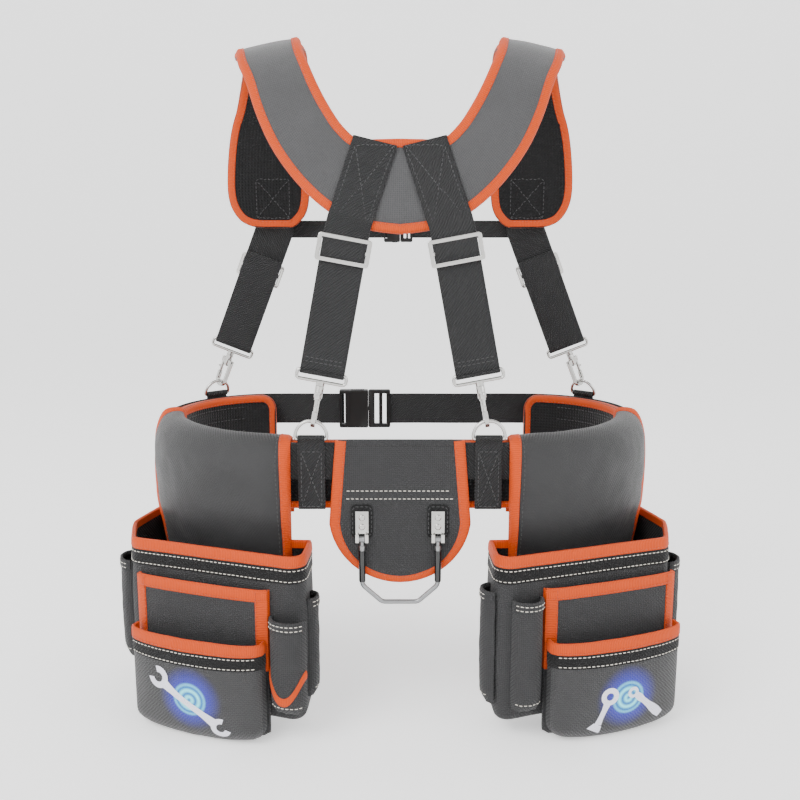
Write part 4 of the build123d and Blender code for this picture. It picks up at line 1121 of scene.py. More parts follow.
class BELT_OT_chest_strap(bpy.types.Operator):
    """Narrow webbing across the chest, hemmed round both front straps"""

    bl_idname = "belt.chest_strap"
    bl_label = "Chest strap"

    def execute(self, context):
        low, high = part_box("chest_strap")
        socket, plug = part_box("chest_buckle_socket")[0].x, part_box("chest_buckle_plug")[1].x
        y, z = (low.y + high.y) / 2 / MM, (low.z + high.z) / 2 / MM
        width = (high.z - low.z) / MM
        strap = Piece("chest_webbing")
        for start, end in ((low.x / MM, socket / MM + 4), (plug / MM - 3, high.x / MM)):
            points = resample([Vector((start, y, z)), Vector((end, y, z))], 5.0)
            points = [p + Vector((0, 0.5 * sin(p.x / 23), 0)) for p in points]
            strap.ribbon(frames(points, [AHEAD] * len(points)), width, 1.7, "webbing")
        for side in (-1, 1):
            for x in (132, 137):
                row = [Vector((side * x, y + 1.0, z + h)) for h in (-8, -4, 0, 4, 8)]
                strap.stitches(row, [AHEAD] * 5, "thread_black")
                strap.stitches([p - AHEAD * 2 for p in row], [BEHIND] * 5, "thread_black")
        obj = strap.done("harness", ["chest_strap"])
        return {"FINISHED"}


# ---------------------------------------------------------------- hammer holder
PANEL_FACE = -(HOLDER_FACE + HOLDER_THICKNESS)      # Y of the panel's outer face
LOOP_HALF, LOOP_WIRE_Y = 38.0, -154.2


def holder_edge(inset):
    """Outline of the hammer holder, from its top left corner down round to its top right."""
    wide, bottom = HOLDER_WIDE_HALF - inset, HOLDER_BOTTOM + inset
    drop = HOLDER_WIDE_Z - bottom
    radius = (wide * wide + drop * drop) / (2 * drop)
    centre = bottom + radius
    turn = atan2(wide, centre - HOLDER_WIDE_Z)
    line = [Vector((-(HOLDER_TOP_HALF - inset), 0, HOLDER_TOP)), Vector((-wide, 0, HOLDER_WIDE_Z))]
    line += [Vector((radius * sin(turn * t / 12), 0, centre - radius * cos(turn * t / 12)))
             for t in range(-11, 12)]
    line += [Vector((wide, 0, HOLDER_WIDE_Z)), Vector((HOLDER_TOP_HALF - inset, 0, HOLDER_TOP))]
    return line


class BELT_OT_hammer_holder(bpy.types.Operator):
    """Cloth panel with a bound edge, sewn tunnel and dark patches under its clips"""

    bl_idname = "belt.hammer_holder"
    bl_label = "Hammer holder"

    def execute(self, context):
        outer = resample(holder_edge(3.0), 3.0)
        columns, rows = 26, len(outer) // 2
        outer = resample(holder_edge(3.0), lengths(outer)[-1] / (2 * rows))
        points = []
        for i in range(rows + 1):
            left, right = outer[i], outer[len(outer) - 1 - i]
            row = []
            for j in range(columns + 1):
                spot = left.lerp(right, j / columns)
                spot.y = PANEL_FACE + HOLDER_THICKNESS / 2
                row.append(spot)
            points.append(row)
        normals = [[BEHIND] * (columns + 1)] * (rows + 1)
        soft = make().wrinkle / MM

        def front(i, j):
            spot = points[i][j]
            inner = min(max((min(j, columns - j) / columns - 0.085) / 0.06, 0), 1)
            ridge = 1.3 * exp(-((spot.z + 24.5 + 0.8 * sin(spot.x / 21)) / 1.7) ** 2)
            ridge -= 0.7 * exp(-((spot.z + 20.2) / 1.6) ** 2) + 0.6 * exp(-((spot.z + 15.5) / 1.5) ** 2)
            bulge = 0.7 * crown(j / columns, 0.3) * min((HOLDER_TOP - spot.z) / 12, 1)
            return 1.2 + bulge + ridge * inner + 0.35 * soft * wrinkle(spot, 17)

        panel = Piece("hammer_holder_cloth")
        quilt(panel, points, normals, front, lambda i, j: 1.6, "cloth", "lining")
        inside = HOLDER_TOP_HALF - 12
        liner = [[Vector((x, y, z)) for x in (-inside, -inside / 3, inside / 3, inside)]
                 for y, z in ((-141.2, -16.5), (-140.9, -4), (-140.9, 30), (-141.6, 36.6), (-143.6, 38.0),
                              (-146.5, 37.6), (-146.5, 36.2), (-143.5, 36.6), (-142.3, 35.6),
                              (-142.0, 30), (-142.0, -4), (-142.6, -9), (-145.0, -11),
                              (-147.2, -14), (-145.5, -21.5), (-142.0, -19.5))]
        panel.lattice([list(row) for row in zip(*liner)], "lining", False, True, True)
        for z in (-13.6, -21.8):
            reach = HOLDER_TOP_HALF - 13 + 5 * (HOLDER_TOP - z) / (HOLDER_TOP - HOLDER_WIDE_Z)
            row = resample([Vector((x, PANEL_FACE + 0.2, z)) for x in (-reach, reach)], 4.0)
            panel.stitches(row, [BEHIND] * len(row))
        for x in (-LOOP_HALF, LOOP_HALF):
            patch = rounded([(x + a, 0, z) for a, z in ((-11, -27), (11, -27), (11, -62), (-11, -62))],
                            5, True, 2.0)
            levels = ((0.2, 1.0), (1.15, 1.0), (1.5, 0.93), (1.5, 0.5), (1.5, 0.02))
            centre = Vector((x, 0, -44.5))
            rings = [[centre + (p - centre) * share + Vector((0, PANEL_FACE + 0.3 - lift, 0))
                      for p in patch] for lift, share in levels]
            panel.lattice(rings, "lining", False, True, True)
            around = [centre + (p - centre) * 0.86 + Vector((0, PANEL_FACE - 1.25, 0)) for p in patch]
            panel.stitches(around, [BEHIND] * len(around), "thread_black", True)
        obj = panel.done("hammer_holder", ["holder_panel"])

        edge = resample(holder_edge(0), 3.0)
        line = [p + Vector((0, PANEL_FACE + HOLDER_THICKNESS / 2, 0)) for p in edge]
        outs = [BEHIND] * len(line)
        ways = inwards(line, outs, Vector((0, line[0].y, line[0].z)))
        last = len(ways) - 1
        ways = [sum((ways[min(max(k + d, 0), last)] for d in range(-4, 5)), Vector()).normalized()
                for k in range(last + 1)]
        bound = Piece("holder_tape")
        low = [0.9 * (HOLDER_WIDE_Z - p.z) / (HOLDER_WIDE_Z - HOLDER_BOTTOM) if p.z < HOLDER_WIDE_Z else 0
               for p in line]
        wide = [HOLDER_TAPE - 3.2 * min(share * 1.6, 1) for share in low]
        rows_of_tape = []
        for p, out, way, w in zip(line, outs, ways, wide):
            shape = ((w, 1.3), (w - 0.5, 2.0), (w * 0.6, 2.35), (w * 0.3, 2.3), (0.5, 1.4), (-0.1, 0),
                     (0.5, -1.4), (w * 0.3, -1.9), (w * 0.6, -1.95), (w - 0.5, -1.9), (w, -1.3))
            rows_of_tape.append([p + way * a + out * b for a, b in shape])
        bound.lattice(rows_of_tape, "tape", False, True, True)
        bound.stitches([p + way * (w - 1.8) + out * 2.2 for p, way, w, out in zip(line, ways, wide, outs)],
                       outs, "thread_orange")
        top_edge = Vector((0, PANEL_FACE + HOLDER_THICKNESS / 2, HOLDER_TOP))
        across_top = resample([top_edge + Vector((x, 0, 0)) for x in
                               (-HOLDER_TOP_HALF + 11.2, HOLDER_TOP_HALF - 11.2)], 4.0)
        bound.tape(across_top, [BEHIND] * len(across_top), [-UP] * len(across_top), 6.0, 1.9, 1.8,
                   "cloth", False)
        bound.done("hammer_holder", ["holder_binding"])
        return {"FINISHED"}


class BELT_OT_hammer_loop(bpy.types.Operator):
    """Plated clips riveted to the holder, and the wire loop with its vinyl sleeves"""

    bl_idname = "belt.hammer_loop"
    bl_label = "Hammer loop"

    def execute(self, context):
        metal_piece("loop_clips_pressed", "loop_clips", "hammer_holder", "nickel", 0.5)
        dress_node("hammer_loop", "steel")
        rivets = Piece("loop_clip_rivets")
        plate, radius = PANEL_FACE - 2.5, 3.2
        for x in (-LOOP_HALF, LOOP_HALF):
            for z in (-40.5, -50.0):
                rows = [[Vector((x + radius * share * cos(a * pi / 12), plate - lift,
                                 z + radius * share * sin(a * pi / 12))) for a in range(24)]
                        for lift, share in ((-0.2, 1.0), (0.5, 1.0), (1.0, 0.86), (1.35, 0.6), (1.5, 0.02))]
                rivets.lattice(rows, "nickel", False, True)
        rivets.done("hammer_holder")
        sleeves = Piece("loop_sleeves")
        for x in (-LOOP_HALF, LOOP_HALF):
            for z_top, z_low, radius, key in ((-68.5, -74.0, 3.5, "steel"), (-73.0, -106.5, 3.4, "vinyl")):
                rows = []
                for z, share in ((z_top, 0.74), (z_top - 0.1, 0.93), (z_top - 0.9, 1), (z_low + 0.9, 1),
                                 (z_low + 0.1, 0.93), (z_low, 0.74)):
                    rows.append([Vector((x + radius * share * cos(a * pi / 12),
                                         LOOP_WIRE_Y + radius * share * sin(a * pi / 12), z))
                                 for a in range(24)])
                sleeves.lattice(rows, key, False, True, True)
        sleeves.done("hammer_loop")
        return {"FINISHED"}


# ---------------------------------------------------------------- hangers
HANGER_OUTER = ((164, -112), (168, -90), (172, -66), (174, -45), (175, -22), (174.5, 0), (173, 14),
                (169.5, 25), (163.5, 33.5), (155, 39), (147, 40.6), (141, 39), (138.8, 34), (138.6, 20),
                (138.6, -10), (138.8, -42))
HANGER_INNER = ((161.6, -112), (161.6, -90), (161.6, -66), (161.6, -45), (161.6, -22), (161.6, 0),
                (161.6, 14), (161.4, 25), (160.8, 33), (155, 36.3), (147, 36.4), (142.3, 35.8),
                (141.6, 32), (141.6, 20), (141.6, -10), (141.6, -42))


def hip_point(angle, radius, z, side):
    turn = radians(angle)
    return turned((HIP_X + radius * sin(turn), HIP_Y - radius * cos(turn), z), side)


def hanger_angle(radius, z):
    """Angle of the hanger's outer edge, which stands further back at its lower end."""
    edge = HIP_Y - 172.5 * cos(radians(HANGER_END))
    low = min(max((HANGER_CUT_TOP - z) / (HANGER_CUT_TOP - POUCH_TOP), 0), 1.12)
    ease = low * low * (3 - 2 * low) if low < 1 else 1.0
    level = edge - HANGER_NARROWING * (0.5 * low + 0.5 * ease)
    return degrees(acos(min(max((HIP_Y - level) / radius, -1), 1))) - 1.0


def hanger_grid(side):
    """Middle points, directions from middle to outer face, and half thickness, over the hip."""
    outer = curved([(r, z, 0) for r, z in HANGER_OUTER], 60)
    inner = curved([(r, z, 0) for r, z in HANGER_INNER], 60)
    columns = 56
    points, ways, halves = [], [], []
    for o, i in zip(outer, inner):
        row, outs = [], []
        last = hanger_angle(o.x, o.y)
        for k in range(columns + 1):
            angle = HANGER_START + 0.6 + (last - HANGER_START - 0.6) * k / columns
            near, far = hip_point(angle, i.x, i.y, side), hip_point(angle, o.x, o.y, side)
            row.append(near)
            outs.append((far - near).normalized())
        points.append(row)
        ways.append(outs)
        halves.append((o - i).length)
    return points, ways, halves, columns


def width_at(i, low_width, top_width):
    """Width of a hanger's tape, from its lower end up to its fold."""
    return low_width + (top_width - low_width) * min(i / 34, 1)


class BELT_OT_hangers(bpy.types.Operator):
    """Padded hangers that fold over the belt and carry the pouches"""

    bl_idname = "belt.hangers"
    bl_label = "Pouch hangers"

    def execute(self, context):
        soft = make().wrinkle / MM
        for side in SIDES:
            points, ways, halves, columns = hanger_grid(side)
            count = len(points)

            def full(i, j):
                spread = crown(j / columns, 0.16)
                spot = points[i][j]
                low = min(max((10 - spot.z) / 60, 0), 1)
                lobe = sin(spot.z / 9 + 2.6 * wrinkle(spot, 60)) * (0.35 + 1.1 * low)
                body = halves[i] * (0.36 + 0.60 * spread)
                thick = min(halves[i] / 8, 1)
                return max(body + thick * (lobe * 0.55 + soft * 1.2 * wrinkle(spot, 26)) * spread, 1.0)

            pad = Piece(f"{side}_hanger_cloth")
            quilt(pad, points, ways, full, lambda i, j: 0.0, "pad")
            inset = round(HANGER_SEAM / (radians(HANGER_END - HANGER_START) * 170 / columns))
            sewn = range(3, count - 22)
            for j in (inset, columns - inset):
                line = [points[i][j] + ways[i][j] * (full(i, j) + 0.1) for i in sewn]
                pad.stitches(line, [ways[i][j] for i in sewn], "thread_black")
            obj = pad.done(f"{side}_pouch", [f"{side}_hanger"])
            for j, name, top_width, low_width in ((0, "inner", 11.0, 7.0), (columns, "outer", 9.0, 9.0)):
                neighbour = 1 if j == 0 else columns - 1
                line = [points[i][j] for i in range(count)]
                outs = [ways[i][j] for i in range(count)]
                inward = [(points[i][neighbour] - points[i][j]).normalized() for i in range(count)]
                bound = Piece(f"{side}_hanger_tape_{name}")
                rows = []
                for i, (p, out, way) in enumerate(zip(line, outs, inward)):
                    width = width_at(i, low_width, top_width)
                    up, deep = full(i, j) + 0.35, full(i, neighbour) + 0.75
                    middle = full(i, min(max(j + (3 if j == 0 else -3), 0), columns)) + 0.5
                    flare = 0.0 if j == 0 else 4.2 * min(i / 8, 1) * min((count - 1 - i) / 24, 1)
                    shape = ((width, middle - 1.2), (width - 0.4, middle),
                             (width * 0.6, (middle + deep) / 2 + flare * 0.35),
                             (width * 0.25, deep + flare * 0.8), (0.2, up + flare),
                             (-0.9, up * 0.5 + flare * 0.7), (0.3, -0.4),
                             (width * 0.5, -0.45), (width - 0.3, -0.45), (width, 0.3))
                    rows.append([p + way * a + out * b for a, b in shape])
                bound.lattice(rows, "tape", False, True, True)
                seam = [p + way * (width_at(i, low_width, top_width) - 1.6)
                        + out * (full(i, min(max(j + (2 if j == 0 else -2), 0), columns)) + 0.9)
                        for i, (p, way, out) in enumerate(zip(line, inward, outs))]
                bound.stitches(seam, outs, "thread_orange")
                bound.done(f"{side}_pouch")
        return {"FINISHED"}


# ---------------------------------------------------------------- pockets
def outward(plan):
    """Outward directions round a closed level line."""
    middle = sum(plan, Vector()) / len(plan)
    ways = [side for _, side, _ in frames(plan, [UP] * len(plan), True)]
    turn = sum(way.dot(p - middle) for way, p in zip(ways, plan))
    return [way if turn > 0 else -way for way in ways]


def main_plan(side):
    """Plan of the main pocket's wall: two corners, the front wall, and its back against the hanger."""
    line = rounded(POUCH_CORNERS, 14, False, 4.0)
    back = [Vector((HIP_X + 161 * sin(radians(a)), HIP_Y - 161 * cos(radians(a)), 0))
            for a in (74, 66, 58, 50, 42, 34, 26, 18, 10, 3)]
    return resample([turned(p, side) for p in line + back], 4.0, True)


def vessel(piece, plan, ways, top, bottom, wall, bulge, sag):
    """A sewn bag: outer wall, rounded bottom, and lining down its inside."""
    levels, corner = 14, 9.0
    height = top - bottom

    def out_at(i, share, inset):
        z = top - height * share
        low = min(max((z - bottom) / corner, 0), 1)
        tuck = corner * 0.8 * (1 - sqrt(max(1 - (1 - low) ** 2, 0)))
        swell = bulge * sin(pi * min(share * 1.05, 1)) + 0.6 * wrinkle(plan[i] + Vector((0, 0, z)), 30)
        here = plan[i] + ways[i] * (swell - tuck - inset)
        fall = -sag * max(share - 0.8, 0) / 0.2 * 0.4
        return Vector((here.x, here.y, z + fall))

    shares = [k / levels * 0.9 for k in range(levels + 1)] + [0.93, 0.96, 0.98, 0.995, 1.0]
    rows = [[out_at(i, share, 0) for i in range(len(plan))] for share in shares]
    middle = sum(plan, Vector()) / len(plan)
    low = Vector((middle.x, middle.y, bottom - sag * 0.5))
    for share in (0.25, 0.55, 0.8, 0.985):
        rows.append([p.lerp(low, share) for p in rows[len(shares) - 1]])
    piece.lattice(rows, "cloth", False, True)
    inner = [[out_at(i, share, wall) for i in range(len(plan))] for share in shares[:-2]]
    floor = Vector((middle.x, middle.y, bottom + 4))
    for share in (0.3, 0.6, 0.985):
        inner.append([p.lerp(floor, share) for p in inner[len(shares) - 3]])
    piece.lattice([rows[0]] + inner, "lining", False, True)
    return lambda i, z: out_at(i, min(max((top - z) / height, 0), 1), 0)


def band(piece, surface, ways, top, bottom, lift, key, over=0.0):
    """A strip laid round a bag's wall between two heights, folded over its mouth by the amount given."""
    rows = []
    for i, way in enumerate(ways):
        high, low = surface(i, top), surface(i, bottom)
        high = Vector((high.x, high.y, top))
        shape = []
        if over:
            shape += [high - way * over - UP * 7, high - way * over + UP * 0.1,
                      high - way * (over * 0.6) + UP, high + UP * 0.9]
        steps = 4
        for k in range(steps + 1):
            spot = high.lerp(low, k / steps)
            face = surface(i, spot.z)
            spot = Vector((face.x, face.y, spot.z))
            ease = 0.35 if k in (0, steps) else 1.0
            shape.append(spot + way * lift * ease)
        shape += [low - way * 0.6, high - way * 0.6 - UP]
        rows.append(shape)
    piece.lattice(rows, key, True, True)


class BELT_OT_main_pockets(bpy.types.Operator):
    """Deep main pocket of each pouch, with orange tape and a black band round its mouth"""

    bl_idname = "belt.main_pockets"
    bl_label = "Main pockets"

    def execute(self, context):
        for side in SIDES:
            plan = main_plan(side)
            ways = outward(plan)
            count = len(plan)
            hidden = [p.y > HIP_Y - 161 * cos(radians(75)) - 40 and
                      (turned(p, side) - Vector((HIP_X, HIP_Y, 0))).length < 163 for p in plan]
            bag = Piece(f"{side}_main_pocket_cloth")
            free = [0.0 if hide else 1.0 for hide in hidden]
            free = [sum(free[(i + d) % count] for d in (-2, -1, 0, 1, 2)) / 5 for i in range(count)]
            scaled_ways = [way * (0.25 + 0.75 * share) for way, share in zip(ways, free)]
            wall = vessel(bag, plan, scaled_ways, POUCH_TOP, POUCH_BOTTOM, POUCH_WALL, 2.2, 4)
            obj = bag.done(f"{side}_pouch", [f"{side}_main_pocket"])
            rim = Piece(f"{side}_main_rim_tape")
            open_wall = [i for i in range(count) if free[i] > 0.4]
            band(rim, wall, scaled_ways, POUCH_TOP, POUCH_TOP - 10.5, 1.5, "tape", 3.2)
            band(rim, wall, scaled_ways, POUCH_TOP - 9.5, POUCH_TOP - 26.5, 1.0, "lining")
            for z, key, lift in ((POUCH_TOP - 8.4, "thread_orange", 1.35),
                                 (POUCH_TOP - 13.2, "thread", 1.15), (POUCH_TOP - 24.0, "thread", 1.1)):
                line = [wall(i, z) + ways[i] * lift for i in open_wall]
                rim.stitches(line, [ways[i] for i in open_wall], key)
            rim.done(f"{side}_pouch", [f"{side}_main_rim"])
        return {"FINISHED"}


def wall_point(side, a, d, z):
    """A point a along and d out from the front wall of a pouch."""
    return turned(WALL_START + WALL_ALONG * a + WALL_OUT * d + Vector((0, 0, z)), side)


INK_LIFT = 0.28             # of the pale print over the cloth
PRINT_PLACE = {"left": (106.0, -209.0), "right": (126.0, -210.0)}
# Each bar has two ends (along the wall, height) and its widths; each ring a middle and two radii.
PRINT_SHAPES = {
    "left": (
        ("bar", (135, -196), (81, -232), (11, 8, 7, 7, 8, 11)),
        ("ring", (141, -191.5), 5.0, 11.5, radians(75), radians(355)),
        ("ring", (75, -236.0), 4.6, 10.5, radians(-160), radians(110)),
    ),
    "right": (
        ("bar", (103, -213), (95, -236), (8, 6, 6, 8)),
        ("ring", (105.5, -206.0), 4.0, 9.5),
        ("bar", (95, -236), (91, -243), (10, 17)),
        ("bar", (134, -207), (146, -218), (6, 8, 5)),
        ("bar", (144, -216), (168, -238), (6, 6.5, 9, 10, 8)),
        ("ring", (131, -205.0), 2.6, 6.0),
    ),
}


def print_middle(side):
    """Middle of the printed light on a front pocket, in millimetres."""
    a, z = PRINT_PLACE[side]
    return wall_point(side, a, 40, z)


def flat_box(side, start, width, near, far, top, bottom, bulge, key, piece, corners, near_edge):
    """An open pocket on the front wall: crowned front, rounded lower corners and a lining."""
    columns, rows = 36, 30
    front = []
    for i in range(rows + 1):
        share = i / rows
        row = []
        for j in range(columns + 1):
            u = 2 * j / columns - 1
            z = top - (top - bottom) * share
            from_low = max(z - bottom, 0)
            pinch = corners * (1 - sqrt(max(1 - (1 - min(from_low / corners, 1)) ** 2, 0)))
            half = width / 2 - pinch
            side_curve = 1 - abs(u) ** 5
            belly = bulge * (1 - u * u) * (0.35 + 0.65 * sin(pi * min(share * 1.15, 1) * 0.85 + 0.25))
            tuck = (far - near) * 0.55 * (1 - min(from_low / 16, 1)) ** 2
            depth = near + (far - near) * (near_edge + (1 - near_edge) * side_curve ** 0.5) + belly - tuck
            depth += 0.7 * wrinkle(Vector((u * 70, z, start)), 24) * side_curve
            row.append((start + width / 2 + half * u, depth, z))
        front.append(row)
    outer = [[wall_point(side, a, d, z) for a, d, z in row] for row in front]
    inner = [[wall_point(side, a, max(d - 2.2, near + 0.2), z + 0.1) for a, d, z in row] for row in front]
    piece.lattice(outer, key)
    piece.lattice(inner, "lining")
    piece.lattice([outer[0], inner[0]], key)
    for column in (0, -1):
        edge = [row[column] for row in front]
        wall = [wall_point(side, a, near - 0.5, z) for a, _, z in edge]
        piece.lattice([[row[column] for row in outer], wall], "cloth")
    low = [wall_point(side, a, near - 0.5, z) for a, _, z in front[-1]]
    piece.lattice([outer[-1], low], "cloth")
    return front


def across_front(side, front, z, lift, inset=0.0, near=None):
    """Points and outward directions along a pocket's front at one height, and down its sides to near."""
    rows = len(front)
    height = front[0][0][2] - front[-1][0][2]
    place = (front[0][0][2] - z) / height * (rows - 1)
    i = min(max(int(place), 0), rows - 2)
    t = place - i
    line = []
    for low, high in zip(front[i], front[i + 1]):
        a, d = (low[k] + (high[k] - low[k]) * t for k in (0, 1))
        line.append((a, d))
    first, last = line[0][0] + inset, line[-1][0] - inset
    line = [(a, d) for a, d in line if first <= a <= last]
    if near is not None:
        line = [(first, near), (first, near + 3)] + line + [(last, near + 3), (last, near)]
    points = [wall_point(side, a, d, z) for a, d in line]
    outs = []
    for k in range(len(line)):
        one, two = line[max(k - 1, 0)], line[min(k + 1, len(line) - 1)]
        run, rise = two[0] - one[0], two[1] - one[1]
        out = (WALL_OUT * run - WALL_ALONG * rise).normalized()
        outs.append(turned(out, side))
    return [p + out * lift for p, out in zip(points, outs)], outs


def strip(piece, side, front, top, bottom, lift, key, fold=0.0, near=None):
    """A strip of tape or cloth across a pocket's front, folded over its mouth if asked."""
    steps = 4
    lines = []
    for k in range(steps + 1):
        z = top + (bottom - top) * k / steps
        lines.append(across_front(side, front, z, lift if 0 < k < steps else lift * 0.45, 0.0, near))
    rows = []
    for j, out in enumerate(lines[0][1]):
        face = [points[j] for points, _ in lines]
        head = face[0]
        shape = []
        if fold:
            shape += [head - out * fold - UP * 6, head - out * fold + UP * 0.4,
                      head - out * fold * 0.5 + UP * 1.1]
        shape += face + [face[-1] - out * (lift + 0.5), head - out * (lift + 0.5) - UP]
        rows.append(shape)
    piece.lattice(rows, key, False, True, True)


class BELT_OT_tool_pockets(bpy.types.Operator):
    """Flat tool pocket behind each front pocket, taped along its mouth and sides"""

    bl_idname = "belt.tool_pockets"
    bl_label = "Tool pockets"

    def execute(self, context):
        for side in SIDES:
            start = POCKET_START[side]
            flap = Piece(f"{side}_tool_pocket_cloth")
            front = flat_box(side, start, POCKET_WIDTH, 3.5, FLAP_DEPTH - 1.5, FLAP_TOP, POCKET_BOTTOM, 2.5,
                             "cloth", flap, 8, 0.35)
            obj = flap.done(f"{side}_pouch", [f"{side}_tool_pocket"])
            bound = Piece(f"{side}_tool_pocket_tape")
            strip(bound, side, front, FLAP_TOP, FLAP_TOP - 11, 1.2, "tape", 3.4)
            line, outs = across_front(side, front, FLAP_TOP - 9, 1.35, 3)
            bound.stitches(line, outs, "thread_orange")
            for end, way in ((0, 1), (-1, -1)):
                rows, seam = [], []
                for row in front[: int(len(front) * 0.55)]:
                    a, edge, z = row[end]
                    shape = [(a - way * 0.9, -1.0), (a - way * 1.2, edge * 0.5),
                             (a - way * 0.8, edge + 0.9), (a + way * 4, edge + 3.4), (a + way * 10.5, edge + 4.6),
                             (a + way * 11, edge + 3.6), (a + way * 4, edge + 1.0), (a + way * 0.6, 0.0)]
                    rows.append([wall_point(side, x, max(y, 1.0), z) for x, y in shape])
                    seam.append(wall_point(side, a + way * 9.4, edge + 4.9, z))
                bound.lattice(rows, "tape", False, True, True)
                out = turned(WALL_OUT, side)
                bound.stitches(seam, [out] * len(seam), "thread_orange")
            bound.done(f"{side}_pouch")
        return {"FINISHED"}


class BELT_OT_front_pockets(bpy.types.Operator):
    """Printed front pockets, with orange tape and a black band at the mouth"""

    bl_idname = "belt.front_pockets"
    bl_label = "Front pockets"

    def execute(self, context):
        for side in SIDES:
            start = POCKET_START[side]
            bag = Piece(f"{side}_front_pocket_cloth")
            front = flat_box(side, start, POCKET_WIDTH, FLAP_DEPTH, POCKET_DEPTH, POCKET_TOP, POCKET_BOTTOM,
                             11.0, f"print_{side}", bag, 22 if side == "right" else 18, 0.45)
            obj = bag.done(f"{side}_pouch", [f"{side}_front_pocket"])
            rim = Piece(f"{side}_front_rim_tape")
            strip(rim, side, front, POCKET_TOP, POCKET_TOP - 10.5, 1.4, "tape", 3.4, FLAP_DEPTH)
            strip(rim, side, front, POCKET_TOP - 9.5, POCKET_TOP - 24.5, 0.9, "lining", 0.0, FLAP_DEPTH)
            for z, key, lift in ((POCKET_TOP - 8.6, "thread_orange", 1.6),
                                 (POCKET_TOP - 12.6, "thread", 1.2), (POCKET_TOP - 22.2, "thread", 1.2)):
                line, outs = across_front(side, front, z, lift, 2)
                rim.stitches(line, outs, key)
            rim.done(f"{side}_pouch", [f"{side}_front_rim"])
            silhouettes(side, front)
        return {"FINISHED"}


def silhouettes(side, front):
    """Generic pale tool shapes printed on a front pocket, laid on its curved face."""
    rows, columns = len(front), len(front[0])
    top, bottom = front[0][0][2], front[-1][0][2]

    def on_face(a, z):
        i = min(max((top - z) / (top - bottom) * (rows - 1), 0), rows - 1.001)
        row, share = int(i), i - int(i)
        line = [tuple(front[row][j][k] + (front[row + 1][j][k] - front[row][j][k]) * share for k in (0, 1))
                for j in range(columns)]
        for one, two in zip(line, line[1:]):
            if one[0] <= a <= two[0]:
                t = (a - one[0]) / (two[0] - one[0])
                return one[1] + (two[1] - one[1]) * t
        return line[0][1] if a < line[0][0] else line[-1][1]

    def spot(a, z):
        return wall_point(side, a, on_face(a, z) + INK_LIFT, z)

    ink = Piece(f"{side}_print_shapes")

    def bar(start, end, widths):
        (a0, z0), (a1, z1) = start, end
        along = Vector((a1 - a0, z1 - z0)).normalized()
        square = Vector((-along.y, along.x))
        steps = 20
        lattice = []
        for k in range(steps + 1):
            t = k / steps
            place = t * (len(widths) - 1)
            i = min(int(place), len(widths) - 2)
            half = (widths[i] + (widths[i + 1] - widths[i]) * (place - i)) / 2
            middle = Vector((a0 + (a1 - a0) * t, z0 + (z1 - z0) * t))
            lattice.append([spot(*(middle + square * (half * v))) for v in (-1, -0.5, 0, 0.5, 1)])
        ink.lattice(lattice, "ink")

    def ring(middle, inner, outer, first=0.0, last=2 * pi):
        lattice = []
        for k in range(33):
            turn = first + (last - first) * k / 32
            lattice.append([spot(middle[0] + r * cos(turn), middle[1] + r * sin(turn))
                            for r in (inner, (inner + outer) / 2, outer)])
        ink.lattice(lattice, "ink")

    for shape, *values in PRINT_SHAPES[side]:
        (bar if shape == "bar" else ring)(*values)
    ink.done(f"{side}_pouch")


# ---------------------------------------------------------------- tool sleeves
# Start and direction of each pouch wall, on the wearer's right.
WALLS = {
    "front": (WALL_START, WALL_ALONG),
    "inner": (Vector(POUCH_CORNERS[0]), (WALL_START - Vector(POUCH_CORNERS[0])).normalized()),
    "outer": (WALL_END, (Vector(POUCH_CORNERS[3]) - WALL_END).normalized()),
}
# Each sleeve: its wall, its middle along it, width, depth, bottom and top.
SLEEVES = {
    "left": (("front", 15.0, 37.0, 18.0, -222.0, -126.0), ("inner", 30.0, 24.0, 11.0, -214.0, -112.0),
             ("outer", 27.0, 34.0, 14.0, -200.0, -94.0)),
    "right": (("front", 31.0, 31.0, 18.0, -222.0, -108.0), ("inner", 36.0, 27.0, 13.0, -218.0, -102.0),
              ("outer", 27.0, 34.0, 14.0, -200.0, -96.0)),
}


